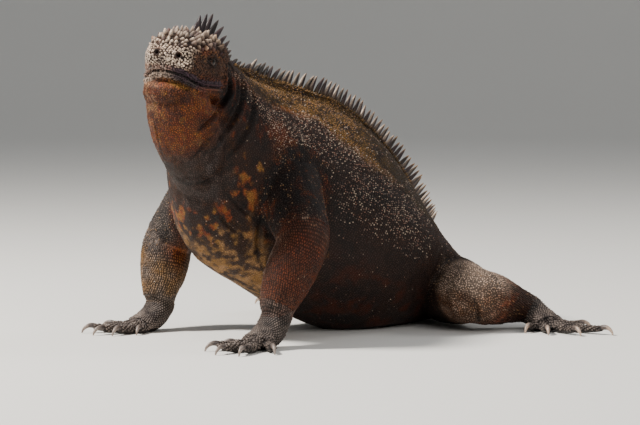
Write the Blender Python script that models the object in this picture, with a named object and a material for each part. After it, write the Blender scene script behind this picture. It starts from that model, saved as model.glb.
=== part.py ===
"""Marine iguana, a big adult male basking on its belly with chest and head raised: a still, life-size model.

Metres, +Z up, floor at z = 0. The nose points to -Y, the animal's left is +X, and the origin is on the belly's rest.
Head, neck, trunk and tail are one fused form parted by thin cuts. Limbs and feet are fused forms that meet it.
Spines, head scales and lids are fused onto the node that they grow from. Claws and eyes are nodes of their own.
"""

import math
import random

import bmesh
import bpy
import numpy as np
from mathutils import Vector
from mathutils.bvhtree import BVHTree

# Driving sizes
GAP = 0.0003
SKIN_GAP = 0.0004
SEED = 7

# Trunk stations from the skull back to the sacrum: centre x, y, z, half width, height above and below the centre,
# and how peaked the back is, where 1 is round and 2 is a tent
TRUNK = [
    (0.0215, -0.210, 0.224, 0.0220, 0.0180, 0.020, 1.20),
    (0.0160, -0.197, 0.214, 0.0275, 0.0200, 0.032, 1.25),
    (0.0090, -0.180, 0.197, 0.0370, 0.0290, 0.050, 1.30),
    (0.0030, -0.158, 0.172, 0.0490, 0.0490, 0.075, 1.30),
    (0.0000, -0.130, 0.145, 0.0600, 0.0660, 0.095, 1.30),
    (0.0030, -0.090, 0.118, 0.0710, 0.0780, 0.093, 1.30),
    (0.0050, -0.045, 0.095, 0.0790, 0.0780, 0.093, 1.35),
    (0.0030, 0.000, 0.074, 0.0760, 0.0660, 0.088, 1.70),
    (-0.0020, 0.038, 0.056, 0.0650, 0.0490, 0.066, 2.00),
    (-0.0120, 0.070, 0.043, 0.0520, 0.0400, 0.049, 2.00),
    (-0.0280, 0.098, 0.035, 0.0420, 0.0360, 0.039, 1.80),
]
# Tail stations: distance from the sacrum, heading from +Y towards the animal's right, half width, half height, peak
TAIL_START_HEADING = 38.0
TAIL = [
    (0.040, 54.0, 0.0330, 0.0330, 1.40),
    (0.090, 66.0, 0.0250, 0.0285, 1.15),
    (0.160, 72.0, 0.0195, 0.0250, 1.10),
    (0.260, 66.0, 0.0145, 0.0212, 1.10),
    (0.380, 50.0, 0.0100, 0.0168, 1.10),
    (0.500, 30.0, 0.0062, 0.0115, 1.10),
    (0.600, 12.0, 0.0026, 0.0050, 1.10),
]
TAIL_FLAT = 0.0012
RIDGE_WIDTH = 0.0048
RIDGE_RISE = 0.0065

# Head frame: centre of the skull, turned to the animal's left, tipped up and rolled to the left
HEAD_CENTRE = Vector((0.0270, -0.2250, 0.2225))
HEAD_TURN = 27.0
HEAD_TIP = 6.0
HEAD_ROLL = 7.0
# Head stations: forward of the centre, above it, half width, height above and below
HEAD = [
    (-0.0420, -0.002, 0.0215, 0.0190, 0.0200),
    (-0.0270, 0.000, 0.0260, 0.0222, 0.0230),
    (-0.0100, 0.000, 0.0262, 0.0232, 0.0225),
    (0.0070, 0.000, 0.0248, 0.0222, 0.0215),
    (0.0200, -0.001, 0.0228, 0.0190, 0.0200),
    (0.0300, -0.003, 0.0195, 0.0142, 0.0175),
    (0.0360, -0.006, 0.0135, 0.0085, 0.0120),
]
HEAD_SHAPE = (0.84, 0.66)
CHIN_PLACE = (0.0160, 0.0, -0.0225)
CHIN_RADII = (0.0155, 0.0185, 0.0065)
HEAD_BACK = -0.036
HEAD_UNDER = -0.0215

# Throat stations, from under the chin down to the breastbone: x, y, z, half width, half depth
THROAT = [
    (0.0360, -0.2440, 0.2060, 0.0190, 0.0110),
    (0.0320, -0.2380, 0.1930, 0.0270, 0.0210),
    (0.0275, -0.2270, 0.1740, 0.0265, 0.0270),
    (0.0210, -0.2100, 0.1520, 0.0240, 0.0270),
    (0.0125, -0.1900, 0.1320, 0.0220, 0.0250),
    (0.0050, -0.1700, 0.1150, 0.0210, 0.0220),
]

# Head features in the head's frame: forward, to the side, up
EYE_RADIUS = 0.0062
EYE_PLACE = (0.0030, 0.0206, 0.0020)
LID_THICKNESS = 0.0014
NOSTRIL_PLACE = (0.0270, 0.0083, 0.0045)
NOSTRIL_RADIUS = 0.0018
EAR_PLACE = (-0.0270, 0.0262, 0.0010)
# The mouth runs round the front of the jaws: its height at the front and at the corners, and how far it turns back
MOUTH_HEIGHTS = (-0.0105, -0.0165)
MOUTH_TURN = 118.0
MOUTH_HUB = 0.0020

# Limb joints from the body outwards, then the radius at stations along the limb
ARM_STATIONS = ((0.0, 0.0265), (0.5, 0.0245), (1.0, 0.0215), (1.45, 0.0210), (1.8, 0.0180), (2.0, 0.0145))
LEG_STATIONS = ((0.0, 0.0290), (0.5, 0.0290), (1.0, 0.0245), (1.40, 0.0215), (1.75, 0.0155), (2.0, 0.0120))
LIMBS = {
    "left_arm": ((0.044, -0.132, 0.126), (0.083, -0.152, 0.082), (0.081, -0.181, 0.0275)),
    "right_arm": ((-0.042, -0.138, 0.128), (-0.083, -0.150, 0.074), (-0.080, -0.165, 0.0260)),
    "left_leg": ((0.024, 0.060, 0.030), (0.100, 0.022, 0.030), (0.118, 0.076, 0.0165)),
    "right_leg": ((-0.046, 0.074, 0.032), (-0.106, 0.020, 0.030), (-0.128, 0.078, 0.0165)),
}
PART_NAMES = {"arm": ("upper_arm", "forearm", "hand"), "leg": ("thigh", "shin", "foot")}
# Digits one to five: heading from -Y towards the animal's outer side, and length from wrist or ankle to the toe tip
DIGITS = {
    "left_arm": ((-43, 0.035), (-22, 0.049), (6, 0.056), (27, 0.055), (58, 0.042)),
    "right_arm": ((-34, 0.035), (-13, 0.048), (4, 0.055), (26, 0.056), (60, 0.042)),
    "left_leg": ((22, 0.040), (50, 0.053), (74, 0.066), (96, 0.077), (136, 0.047)),
    "right_leg": ((20, 0.040), (44, 0.053), (64, 0.066), (84, 0.077), (120, 0.047)),
}
PALM_LENGTH = {"arm": 0.020, "leg": 0.030}
PALM_WIDTH = {"arm": 0.0145, "leg": 0.0130}
DIGIT_RADIUS = 0.0042
CLAW_RADIUS = 0.0023

# Crest: distances along the back from the crown, and there the spines' height and spacing
CREST = (
    (0.000, 0.010, 0.022, 0.048, 0.060, 0.082, 0.090, 0.130, 0.200, 0.300, 0.370, 0.450, 0.600, 0.990),
    (0.011, 0.0195, 0.023, 0.022, 0.010, 0.0085, 0.0175, 0.0165, 0.0150, 0.0120, 0.0100, 0.0085, 0.0070, 0.0035),
    (0.0068, 0.0066, 0.0066, 0.0066, 0.0066, 0.0066, 0.0066, 0.0066, 0.0068, 0.0072, 0.0085, 0.0150, 0.0160, 0.0170),
)
SPINE_WIDTH = 0.0019
SPINE_ROOT = 0.0026
BENT_SPINE = 0.0130

# Colour and roughness by the first key found in a node's name
PAINTS = {
    "claw": ((0.30, 0.27, 0.23), 0.45),
    "eye": ((0.020, 0.015, 0.010), 0.15),
    "head": ((0.150, 0.125, 0.105), 0.75),
    "neck": ((0.110, 0.062, 0.040), 0.70),
    "chest": ((0.085, 0.058, 0.040), 0.70),
    "belly": ((0.055, 0.040, 0.033), 0.68),
    "pelvis": ((0.052, 0.042, 0.036), 0.68),
    "tail": ((0.048, 0.044, 0.040), 0.70),
    "thigh": ((0.080, 0.060, 0.044), 0.70),
    "shin": ((0.120, 0.095, 0.065), 0.70),
    "arm": ((0.100, 0.062, 0.045), 0.70),
    "hand": ((0.105, 0.100, 0.095), 0.70),
    "foot": ((0.105, 0.100, 0.095), 0.70),
}


def smooth_rows(rows, steps):
    """Catmull-Rom curve through the rows, so that every column runs smoothly from station to station."""
    rows = np.array(rows, float)
    padded = np.vstack([2 * rows[0] - rows[1], rows, 2 * rows[-1] - rows[-2]])
    made = []
    for i in range(1, len(padded) - 2):
        p0, p1, p2, p3 = padded[i - 1 : i + 3]
        for t in np.arange(steps) / steps:
            bend = (2 * p0 - 5 * p1 + 4 * p2 - p3) * t**2 + (3 * p1 - p0 - 3 * p2 + p3) * t**3
            made.append(0.5 * (2 * p1 + (p2 - p0) * t + bend))
    return np.array([*made, padded[-2]])


def frames(centres, up):
    """Unit tangent, side and normal at each centre, the normal leaning as near to up as it can."""
    tangents = np.gradient(centres, axis=0)
    tangents /= np.linalg.norm(tangents, axis=1)[:, None]
    up = np.array(up, float)
    normals = up - (tangents @ up)[:, None] * tangents
    normals /= np.linalg.norm(normals, axis=1)[:, None]
    return tangents, np.cross(tangents, normals), normals


def tube(rows, up=(0, 0, 1), around=24, steps=4, shape=(1.0, 1.0)):
    """A closed tube through rows of x, y, z, half width, height above, height below and perhaps the upper power.

    The shape's two powers are for the upper and lower half of the section: 1 is round, less is boxier, more is peaked.
    """
    rows = smooth_rows(rows, steps)
    _, sides, normals = frames(rows[:, :3], up)
    points = []
    for row, side, normal in zip(rows, sides, normals):
        upper = row[6] if len(row) > 6 else shape[0]
        for k in range(around):
            a = 2 * math.pi * k / around
            power, height = (upper, row[4]) if math.sin(a) > 0 else (shape[1], row[5])
            across = math.copysign(abs(math.cos(a)) ** power, math.cos(a))
            rise = math.copysign(abs(math.sin(a)) ** power, math.sin(a))
            points.append(row[:3] + side * row[3] * across + normal * height * rise)
    faces = [tuple(range(around)), tuple(range(len(points) - around, len(points)))]
    for i in range(len(rows) - 1):
        for k in range(around):
            low, next_low = i * around + k, i * around + (k + 1) % around
            faces.append((low, low + around, next_low + around, next_low))
    return points, faces


def round_tube(centres, radii, around=16, steps=3, up=(0, 0, 1)):
    """A tube of round section through the centres."""
    rows = [(*c, r, r, r) for c, r in zip(centres, radii)]
    return tube(rows, up, around, steps)


def ball(centre, radii, axes=((1, 0, 0), (0, 1, 0), (0, 0, 1)), around=14):
    """An ellipsoid with these half sizes along these axes."""
    centre = np.array(centre, float)
    axes = [np.array(a, float) for a in axes]
    levels = around // 2
    points = [centre - axes[2] * radii[2], centre + axes[2] * radii[2]]
    for i in range(1, levels):
        tilt = math.pi * i / levels - math.pi / 2
        for k in range(around):
            a = 2 * math.pi * k / around
            across = axes[0] * radii[0] * math.cos(a) + axes[1] * radii[1] * math.sin(a)
            points.append(centre + across * math.cos(tilt) + axes[2] * radii[2] * math.sin(tilt))
    faces = []
    last = 2 + (levels - 2) * around
    for k in range(around):
        n = (k + 1) % around
        faces.append((0, 2 + n, 2 + k))
        faces.append((1, last + k, last + n))
        for i in range(levels - 2):
            low = 2 + i * around
            faces.append((low + k, low + n, low + around + n, low + around + k))
    return points, faces


def prism(outline, start, end):
    """A straight solid whose outline points are moved by start at one end and by end at the other."""
    n = len(outline)
    points = [Vector(p) + shift for shift in (start, end) for p in outline]
    faces = [tuple(range(n)), tuple(range(n, 2 * n))]
    faces += [(k, (k + 1) % n, n + (k + 1) % n, n + k) for k in range(n)]
    return points, faces


def new_object(name, shapes):
    """One object from closed shapes, each with its faces turned outwards."""
    made = bmesh.new()
    for points, faces in shapes:
        corners = [made.verts.new(p) for p in points]
        for face in faces:
            made.faces.new([corners[i] for i in face])
    bmesh.ops.recalc_face_normals(made, faces=made.faces)
    mesh = bpy.data.meshes.new(name)
    made.to_mesh(mesh)
    made.free()
    return placed(name, mesh)


def placed(name, mesh):
    """An object of this name with this mesh, in the scene."""
    obj = bpy.data.objects.new(name, mesh)
    bpy.context.scene.collection.objects.link(obj)
    return obj


def settle(obj):
    """Replaces the object's mesh by what its modifiers make of it."""
    bpy.context.view_layer.update()
    graph = bpy.context.evaluated_depsgraph_get()
    mesh = bpy.data.meshes.new_from_object(obj.evaluated_get(graph))
    obj.modifiers.clear()
    obj.data = mesh
    return obj


def fuse(name, shapes, voxel, rounds, triangles):
    """One smooth closed skin round all the shapes, with about this many triangles."""
    obj = new_object(name, shapes)
    remesh = obj.modifiers.new("fuse", "REMESH")
    remesh.mode = "VOXEL"
    remesh.voxel_size = voxel
    soften = obj.modifiers.new("soften", "SMOOTH")
    soften.factor = 0.5
    soften.iterations = rounds
    settle(obj)
    thin = obj.modifiers.new("thin", "DECIMATE")
    thin.ratio = triangles / (2 * len(obj.data.polygons))
    thin.use_collapse_triangulate = True
    return settle(obj)


def boolean(obj, operation, others):
    """Joins the other objects to this one or cuts them from it, and removes them."""
    group = bpy.data.collections.new("group")
    for other in others:
        group.objects.link(other)
    modifier = obj.modifiers.new("boolean", "BOOLEAN")
    modifier.operation = operation
    modifier.operand_type = "COLLECTION"
    modifier.collection = group
    settle(obj)
    for other in others:
        bpy.data.objects.remove(other)
    bpy.data.collections.remove(group)
    return obj


def shells(obj):
    """The object's separate closed surfaces as (middle, mesh), the largest first."""
    mesh = bmesh.new()
    mesh.from_mesh(obj.data)
    mesh.verts.ensure_lookup_table()
    seen = set()
    found = []
    for start in mesh.verts:
        if start.index in seen:
            continue
        queue = [start]
        members = {start.index}
        while queue:
            for edge in queue.pop().link_edges:
                for vert in edge.verts:
                    if vert.index not in members:
                        members.add(vert.index)
                        queue.append(vert)
        seen |= members
        part = mesh.copy()
        bmesh.ops.delete(part, geom=[v for v in part.verts if v.index not in members], context="VERTS")
        middle = sum((v.co for v in part.verts), Vector()) / len(part.verts)
        volume = part.calc_volume()
        data = bpy.data.meshes.new(obj.name)
        part.to_mesh(data)
        part.free()
        found.append((volume, middle, data))
    mesh.free()
    found.sort(key=lambda item: -item[0])
    return [(middle, data) for _, middle, data in found]


def keep_largest(obj):
    obj.data = shells(obj)[0][1]
    return obj


def swollen(obj, distance=SKIN_GAP):
    """A copy of the object, larger by this distance all round."""
    copy = bpy.data.objects.new(obj.name + "_swollen", obj.data.copy())
    bpy.context.scene.collection.objects.link(copy)
    push = copy.modifiers.new("push", "DISPLACE")
    push.mid_level = 0.0
    push.strength = distance
    return settle(copy)


def floor_cutter():
    """A block that fills everything below the floor."""
    far, deep = 2.0, 0.2
    outline = [(-far, -far, 0), (far, -far, 0), (far, far, 0), (-far, far, 0)]
    return new_object("floor_cutter", [prism(outline, Vector((0, 0, -deep)), Vector())])


def disc(centre, normal, radius):
    """A thin round cutter across a limb or the body."""
    normal = Vector(normal).normalized()
    side = normal.orthogonal().normalized()
    other = normal.cross(side)
    corners = [2 * math.pi * k / 24 for k in range(24)]
    outline = [Vector(centre) + (side * math.cos(a) + other * math.sin(a)) * radius for a in corners]
    return new_object("disc", [prism(outline, normal * -GAP / 2, normal * GAP / 2)])


def part_by(obj, cutters, seeds):
    """Cuts the object apart and names each piece after the seed nearest to its middle."""
    boolean(obj, "DIFFERENCE", cutters)
    nodes = {}
    for middle, mesh in shells(obj):
        name = min(seeds, key=lambda n: (Vector(seeds[n]) - middle).length)
        if name not in nodes:
            nodes[name] = bpy.data.objects.new(name, mesh)
            bpy.context.scene.collection.objects.link(nodes[name])
            cover(nodes[name])
    bpy.data.objects.remove(obj)
    return nodes


def cover(obj):
    """Gives the node its own material: the paint whose key is in the node's name."""
    colour, roughness = next(paint for key, paint in PAINTS.items() if key in obj.name)
    material = bpy.data.materials.new(obj.name + "_surface")
    material.use_nodes = True
    shader = material.node_tree.nodes["Principled BSDF"]
    shader.inputs["Base Color"].default_value = (*colour, 1.0)
    shader.inputs["Roughness"].default_value = roughness
    shader.inputs["Metallic"].default_value = 0.0
    material.diffuse_color = (*colour, 1.0)
    obj.data.materials.clear()
    obj.data.materials.append(material)


def head_axes():
    """Unit forward, left and up of the head."""
    turn, tip, roll = (math.radians(a) for a in (HEAD_TURN, HEAD_TIP, HEAD_ROLL))
    level = Vector((math.sin(turn), -math.cos(turn), 0))
    forward = level * math.cos(tip) + Vector((0, 0, math.sin(tip)))
    side = Vector((0, 0, 1)).cross(forward).normalized()
    rise = forward.cross(side)
    left = side * math.cos(roll) - rise * math.sin(roll)
    return forward, left, forward.cross(left)


def in_head(forward, left, up):
    """A point given in the head's own frame, in world metres."""
    f, s, u = head_axes()
    return HEAD_CENTRE + f * forward + s * left + u * up


def tail_rows():
    """Tail stations laid along the floor, each length following the heading between its ends."""
    x, y = TRUNK[-1][0], TRUNK[-1][1]
    rows = []
    last, last_heading = 0.0, TAIL_START_HEADING
    for distance, heading, half_width, half_height, peak in TAIL:
        way = math.radians((heading + last_heading) / 2)
        x -= math.sin(way) * (distance - last)
        y += math.cos(way) * (distance - last)
        rows.append((x, y, half_height - TAIL_FLAT, half_width, half_height, half_height, peak))
        last, last_heading = distance, heading
    return rows


def spine_rows():
    return [*TRUNK, *tail_rows()]


def trunk_shape():
    return tube(spine_rows())


def ridge_shape():
    """The fleshy ridge along the back that carries the crest."""
    fine = smooth_rows(spine_rows(), 2)
    _, _, normals = frames(fine[:, :3], (0, 0, 1))
    rows = []
    for row, normal in list(zip(fine, normals))[4:]:
        scale = min(1.0, row[4] / 0.036)
        top = row[:3] + normal * (row[4] - 0.002)
        rows.append((*top, RIDGE_WIDTH * scale, (RIDGE_RISE + 0.002) * scale, RIDGE_RISE * scale))
    return tube(rows, around=12, steps=2, shape=(0.8, 1.0))


def head_shapes():
    """Skull and lower jaw, jowls, brow ridges, eyelids and nostril rims."""
    f, s, u = head_axes()
    rows = [(*in_head(forward, 0, up), w, above, below) for forward, up, w, above, below in HEAD]
    shapes = [tube(rows, u, shape=HEAD_SHAPE)]
    shapes.append(ball(in_head(*CHIN_PLACE), CHIN_RADII, (f, s, u)))
    for side in (-1, 1):
        shapes.append(ball(in_head(-0.0060, side * 0.0195, -0.0170), (0.0270, 0.0105, 0.0105), (f, s, u)))
        shapes.append(ball(in_head(0.0045, side * 0.0175, 0.0115), (0.0140, 0.0070, 0.0048), (f, s, u)))
        eye = (EYE_PLACE[0], side * EYE_PLACE[1], EYE_PLACE[2])
        shapes.append(ball(in_head(*eye), [EYE_RADIUS + LID_THICKNESS] * 3, (f, s, u)))
        nostril = (NOSTRIL_PLACE[0], side * NOSTRIL_PLACE[1], NOSTRIL_PLACE[2])
        shapes.append(ball(in_head(*nostril), [NOSTRIL_RADIUS * 2.0] * 3, (f, s, u)))
    return shapes


def mouth_line(skull, lift, depth):
    """Points on the skull along the whole mouth, from corner to corner, lifted, and sunk to a depth."""
    f, s, u = head_axes()
    tree = surface(skull)
    front, corner = MOUTH_HEIGHTS
    points = []
    count = 18
    for i in range(count + 1):
        share = 2 * i / count - 1
        turn = math.radians(MOUTH_TURN) * share
        away = f * math.cos(turn) + s * math.sin(turn)
        height = front + (corner - front) * abs(share) ** 1.5 + lift
        hit = tree.ray_cast(in_head(MOUTH_HUB, 0, height) + away * 0.06, -away, 0.06)
        points.append(hit[0] - away * depth)
    return points


def lip_shapes(skull):
    """The rolls of the upper and lower lip, thinner towards the corners."""
    shapes = []
    for lift in (0.0022, -0.0024):
        path = mouth_line(skull, lift, 0.0012)
        middle = (len(path) - 1) / 2
        radii = [0.0023 - 0.0008 * abs(i - middle) / middle for i in range(len(path))]
        shapes.append(round_tube(path, radii, around=8, steps=1))
    return shapes


def throat_shape():
    rows = [(x, y, z, w, d, d) for x, y, z, w, d in THROAT]
    return tube(rows, (0, 1, 0.2))


def shoulder_shapes():
    """Muscle over each shoulder and hip, and the breast between the arms."""
    shapes = []
    for name, joints in LIMBS.items():
        root = Vector(joints[0])
        if name.endswith("arm"):
            centre, radii = root + Vector((-0.30 * root.x, 0.010, 0.004)), (0.030, 0.0345, 0.030)
        else:
            centre, radii = root + Vector((-0.40 * root.x, 0.004, 0.0)), (0.028, 0.034, 0.029)
        shapes.append(ball(centre, radii))
    return shapes


def body_shapes():
    return [trunk_shape(), throat_shape(), ridge_shape(), *shoulder_shapes(), *head_shapes()]


def head_zone(grow):
    """The space that the head takes from the fused form: in front of the nape and above the throat."""
    back, under, far, side = HEAD_BACK - grow, HEAD_UNDER - grow, 0.10, 0.08
    profile = [(back, under), (far, under - 0.010), (far, far), (back, far)]
    outline = [in_head(f, 0, u) for f, u in profile]
    _, left, _ = head_axes()
    return new_object("head_zone", [prism(outline, left * -side, left * side)])


def along_spine(position):
    """Centre, tangent and upward normal at a position counted in stations from the skull."""
    steps = 40
    fine = smooth_rows(spine_rows(), steps)
    tangents, _, normals = frames(fine[:, :3], (0, 0, 1))
    i = min(round(position * steps), len(fine) - 1)
    return Vector(fine[i, :3]), Vector(tangents[i]), Vector(normals[i])


# Cuts across the body: the node in front of the cut, its place in stations, and its reach
BODY_CUTS = (
    ("neck", 3.30, 0.12),
    ("chest", 5.60, 0.12),
    ("belly", 8.15, 0.12),
    ("pelvis", 10.45, 0.07),
    ("tail_1", 12.55, 0.05),
    ("tail_2", 14.00, 0.05),
    ("tail_3", 15.15, 0.04),
    ("tail_4", 17.0, 0.0),
)


def body_seeds():
    seeds = {"neck": Vector((0.012, -0.195, 0.185))}
    for (_, start, _), (name, end, _) in zip(BODY_CUTS, BODY_CUTS[1:]):
        seeds[name] = along_spine((start + end) / 2)[0]
    return seeds


def limb_path(joints, stations):
    """Centres and radii along a limb, where 0, 1 and 2 are its three joints."""
    root, bend, end = (Vector(j) for j in joints)
    centres = []
    for place, _ in stations:
        centres.append(root.lerp(bend, place) if place <= 1 else bend.lerp(end, place - 1))
    return centres, [r for _, r in stations]


def limb_shapes(name):
    kind = name[-3:]
    stations = ARM_STATIONS if kind == "arm" else LEG_STATIONS
    centres, radii = limb_path(LIMBS[name], stations)
    across = (centres[-1] - centres[0]).cross(Vector((0, 0, 1)))
    return [round_tube(centres, radii, 18, 4, across)]


def palm_heading(name):
    headings = [math.radians(degrees) for degrees, _ in DIGITS[name]]
    return sum(headings[1:4]) / 3


def outward(name, heading):
    """Level direction at a heading from -Y towards the limb's outer side."""
    side = 1 if name.startswith("left") else -1
    return Vector((side * math.sin(heading), -math.cos(heading), 0))


def digit_path(name, number):
    """Centre line of one toe, from inside the palm over its knuckle to its raised tip."""
    kind = name[-3:]
    degrees, length = DIGITS[name][number]
    end = Vector(LIMBS[name][2])
    palm = Vector((end.x, end.y, 0)) + outward(name, palm_heading(name)) * PALM_LENGTH[kind] * 0.45
    way = outward(name, math.radians(degrees))
    reach = length - PALM_LENGTH[kind] * 0.45
    stations = ((0.0, 0.0080, 1.15), (0.30, 0.0068, 1.0), (0.55, 0.0036, 0.98), (0.78, 0.0038, 0.90), (1.0, 0.0050, 0.74))
    centres = [palm + way * reach * share + Vector((0, 0, z)) for share, z, _ in stations]
    return centres, [DIGIT_RADIUS * r for _, _, r in stations]


def foot_shapes(name):
    """Palm or sole with its five toes."""
    kind = name[-3:]
    end = Vector(LIMBS[name][2])
    low = Vector((end.x, end.y, 0))
    way = outward(name, palm_heading(name))
    width, length = PALM_WIDTH[kind], PALM_LENGTH[kind]
    rows = [
        (*(end - way * 0.006), 0.0115, 0.0115, 0.0125),
        (*(low + way * length * 0.35 + Vector((0, 0, 0.0125))), width, 0.0080, 0.0130),
        (*(low + way * length + Vector((0, 0, 0.0078))), width, 0.0048, 0.0085),
    ]
    shapes = [tube(rows, (0, 0, 1), 18, 4)]
    for number in range(5):
        centres, radii = digit_path(name, number)
        shapes.append(round_tube(centres, radii, 12, 4))
    return shapes


def claw_shape(name, number):
    """A hooked claw from inside the toe's tip, curving down to the floor."""
    centres, _ = digit_path(name, number)
    tip = centres[-1]
    way = (centres[-1] - centres[-2]).normalized()
    way.z = 0
    stations = ((-0.0040, 0.0, 1.0), (0.0010, 0.0012, 1.0), (0.0050, 0.0006, 0.78), (0.0082, -0.0020, 0.50))
    stations += ((0.0098, -0.0058, 0.14),)
    points = [tip + way * forward + Vector((0, 0, up)) for forward, up, _ in stations]
    return round_tube(points, [CLAW_RADIUS * r for _, _, r in stations], around=5, steps=1)


def almond(centre, across, up, half_length, half_height, around=12):
    """Outline of the opening between the eyelids."""
    points = []
    for k in range(around):
        a = 2 * math.pi * k / around
        rise = half_height * math.sin(a) * (1 - 0.35 * abs(math.cos(a)))
        points.append(centre + across * half_length * math.cos(a) + up * rise)
    return points


def head_cuts(skull):
    """What is cut from the head: eye sockets and lid openings, nostrils, ear cups and the line of the mouth."""
    f, s, u = head_axes()
    cutters = []
    for side in (-1, 1):
        eye = in_head(EYE_PLACE[0], side * EYE_PLACE[1], EYE_PLACE[2])
        cutters.append(new_object("socket", [ball(eye, [EYE_RADIUS + SKIN_GAP] * 3, (f, s, u), 14)]))
        outline = almond(eye, f, u, 0.0050, 0.0034)
        look = s * side * 0.96 + f * 0.25
        cutters.append(new_object("lid_opening", [prism(outline, Vector(), look * 0.015)]))
        nostril = in_head(NOSTRIL_PLACE[0], side * NOSTRIL_PLACE[1], NOSTRIL_PLACE[2])
        axis = (f * 0.80 + s * side * 0.50 + u * 0.35).normalized()
        ends = [nostril - axis * 0.0022, nostril + axis * 0.010]
        cutters.append(new_object("nostril", [round_tube(ends, [NOSTRIL_RADIUS] * 2, 8, 1, u)]))
        ear = in_head(EAR_PLACE[0], side * EAR_PLACE[1], EAR_PLACE[2])
        cutters.append(new_object("ear", [ball(ear, (0.0046, 0.0024, 0.0056), (f, s, u), 10)]))
    line = mouth_line(skull, 0, 0.0006)
    cutters.append(new_object("mouth_cut", [round_tube(line, [0.0010] * len(line), 5, 1)]))
    return cutters


def surface(obj):
    mesh = bmesh.new()
    mesh.from_mesh(obj.data)
    tree = BVHTree.FromBMesh(mesh)
    mesh.free()
    return tree


def spike(base, lean, back, height, width, thickness):
    """A four-sided spine from below the skin: widest near its root, curved back and tapering to its tip."""
    side = lean.cross(back).normalized()
    rings = [(-SPINE_ROOT, 1.0, 0.0), (0.50 * height, 0.70, 0.06)]
    if height < BENT_SPINE:
        rings.pop()
    points = []
    for rise, size, bend in rings:
        middle = base + lean * rise + back * bend * height
        points += [middle + back * width * size, middle + side * thickness * size]
        points += [middle - back * width * size, middle - side * thickness * size]
    points.append(base + lean * height + back * 0.25 * height)
    top = 4 * len(rings) - 4
    faces = [(0, 1, 2, 3)]
    for k in range(4):
        n = (k + 1) % 4
        faces += [(first + k, first + n, first + 4 + n, first + 4 + k) for first in range(0, top, 4)]
        faces.append((top + k, top + n, top + 4))
    return points, faces


def crest_line():
    """Points and upward directions along the middle of the back, from the crown to the tail's end."""
    _, _, u = head_axes()
    points = [in_head(-0.010, 0, 0.020), in_head(-0.024, 0, 0.020)]
    rises = [u, (u * 2 + Vector((0, 0.5, 1))).normalized()]
    rows = smooth_rows(spine_rows(), 10)
    _, _, normals = frames(rows[:, :3], (0, 0, 1))
    for row, normal in list(zip(rows, normals))[12:-1]:
        points.append(row[:3] + normal * row[4])
        rises.append(normal)
    return np.array(points), np.array(rises)


def crest_places():
    """Foot, direction along the back, upward direction and height of each spine."""
    points, rises = crest_line()
    lengths = np.concatenate([[0], np.cumsum(np.linalg.norm(np.diff(points, axis=0), axis=1))])
    found = []
    at = 0.0
    while at < lengths[-1]:
        foot = Vector([np.interp(at, lengths, points[:, k]) for k in range(3)])
        ahead = Vector([np.interp(at + 0.010, lengths, points[:, k]) for k in range(3)])
        behind = Vector([np.interp(at - 0.010, lengths, points[:, k]) for k in range(3)])
        rise = Vector([np.interp(at, lengths, rises[:, k]) for k in range(3)]).normalized()
        height, spacing = (float(np.interp(at, CREST[0], CREST[k])) for k in (1, 2))
        found.append((foot, (ahead - behind).normalized(), rise, height))
        at += spacing
    return found


def add_crest(nodes, draw):
    """Spines from the crown to the tail's end, as (place, closed shape) under the name of the node they grow from."""
    trees = {name: surface(node) for name, node in nodes.items()}
    grown = {name: [] for name in nodes}
    for foot, tangent, normal, height in crest_places():
        hits = []
        for name, tree in trees.items():
            hit = tree.ray_cast(foot + normal * 0.03, -normal, 0.05)
            if hit[0] is not None:
                hits.append((hit[3], name, hit[0]))
        if not hits:
            continue
        _, name, base = min(hits)
        size = height * draw.uniform(0.88, 1.08)
        side = tangent.cross(normal)
        lean = normal + tangent * (0.12 + draw.uniform(-0.07, 0.07)) + side * draw.uniform(-0.06, 0.06)
        lean.normalize()
        back = (tangent - lean * tangent.dot(lean)).normalized()
        width = SPINE_WIDTH * (0.45 + 0.55 * size / 0.014)
        shape = spike(base, lean, back, size, width, width * 0.55)
        others = [tree for other, tree in trees.items() if other != name]
        reach = max((Vector(p) - base).length for p in shape[0][:4]) + GAP
        if all(tree.find_nearest(base)[3] > reach for tree in others):
            grown[name].append(shape)
    return grown


def tubercle(base, lean, height, radius, draw):
    """A blunt five-sided pyramid scale with its root in the skin."""
    side = lean.orthogonal().normalized()
    other = lean.cross(side)
    turn = draw.uniform(0, math.pi)
    corners = []
    for k in range(5):
        a = turn + 2 * math.pi * k / 5
        corners.append((side * math.cos(a) + other * math.sin(a)) * radius)
    points = [base - lean * 0.0018 + c * 1.12 for c in corners]
    points += [base + lean * height * 0.45 + c * 0.62 for c in corners]
    points.append(base + lean * height)
    faces = [(0, 1, 2, 3, 4)]
    for k in range(5):
        n = (k + 1) % 5
        faces += [(k, n, 5 + n, 5 + k), (5 + k, 5 + n, 10)]
    return points, faces


def head_scales(head, draw):
    """Pyramid scales over the crown and snout, biggest on the crown."""
    f, s, u = head_axes()
    tree = surface(head)
    shapes = []
    spacing = 0.0088
    for row in range(8):
        forward = -0.028 + row * spacing
        for column in range(-2, 3):
            side = (column + 0.5 * (row % 2)) * spacing
            if abs(side) > 0.0215 - 0.0002 * max(0, row - 5) * 10:
                continue
            start = in_head(forward + draw.uniform(-1, 1) * 0.0010, side + draw.uniform(-1, 1) * 0.0010, 0.05)
            hit = tree.ray_cast(start, -u, 0.06)
            if hit[0] is None or hit[1].dot(u) < 0.25:
                continue
            crown = math.exp(-((forward + 0.002) ** 2) / 0.020**2)
            height = (0.0028 + 0.0030 * crown) * draw.uniform(0.75, 1.25)
            lean = (hit[1] + u * 0.5 + f * 0.25).normalized()
            shapes.append(tubercle(hit[0], lean, height, 0.0031 + 0.0009 * crown, draw))
    return shapes


def graft(node, shapes):
    """Fuses separate closed shapes to the node."""
    if shapes:
        boolean(node, "UNION", [new_object("graft", [shape]) for shape in shapes])
        keep_largest(node)


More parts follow.
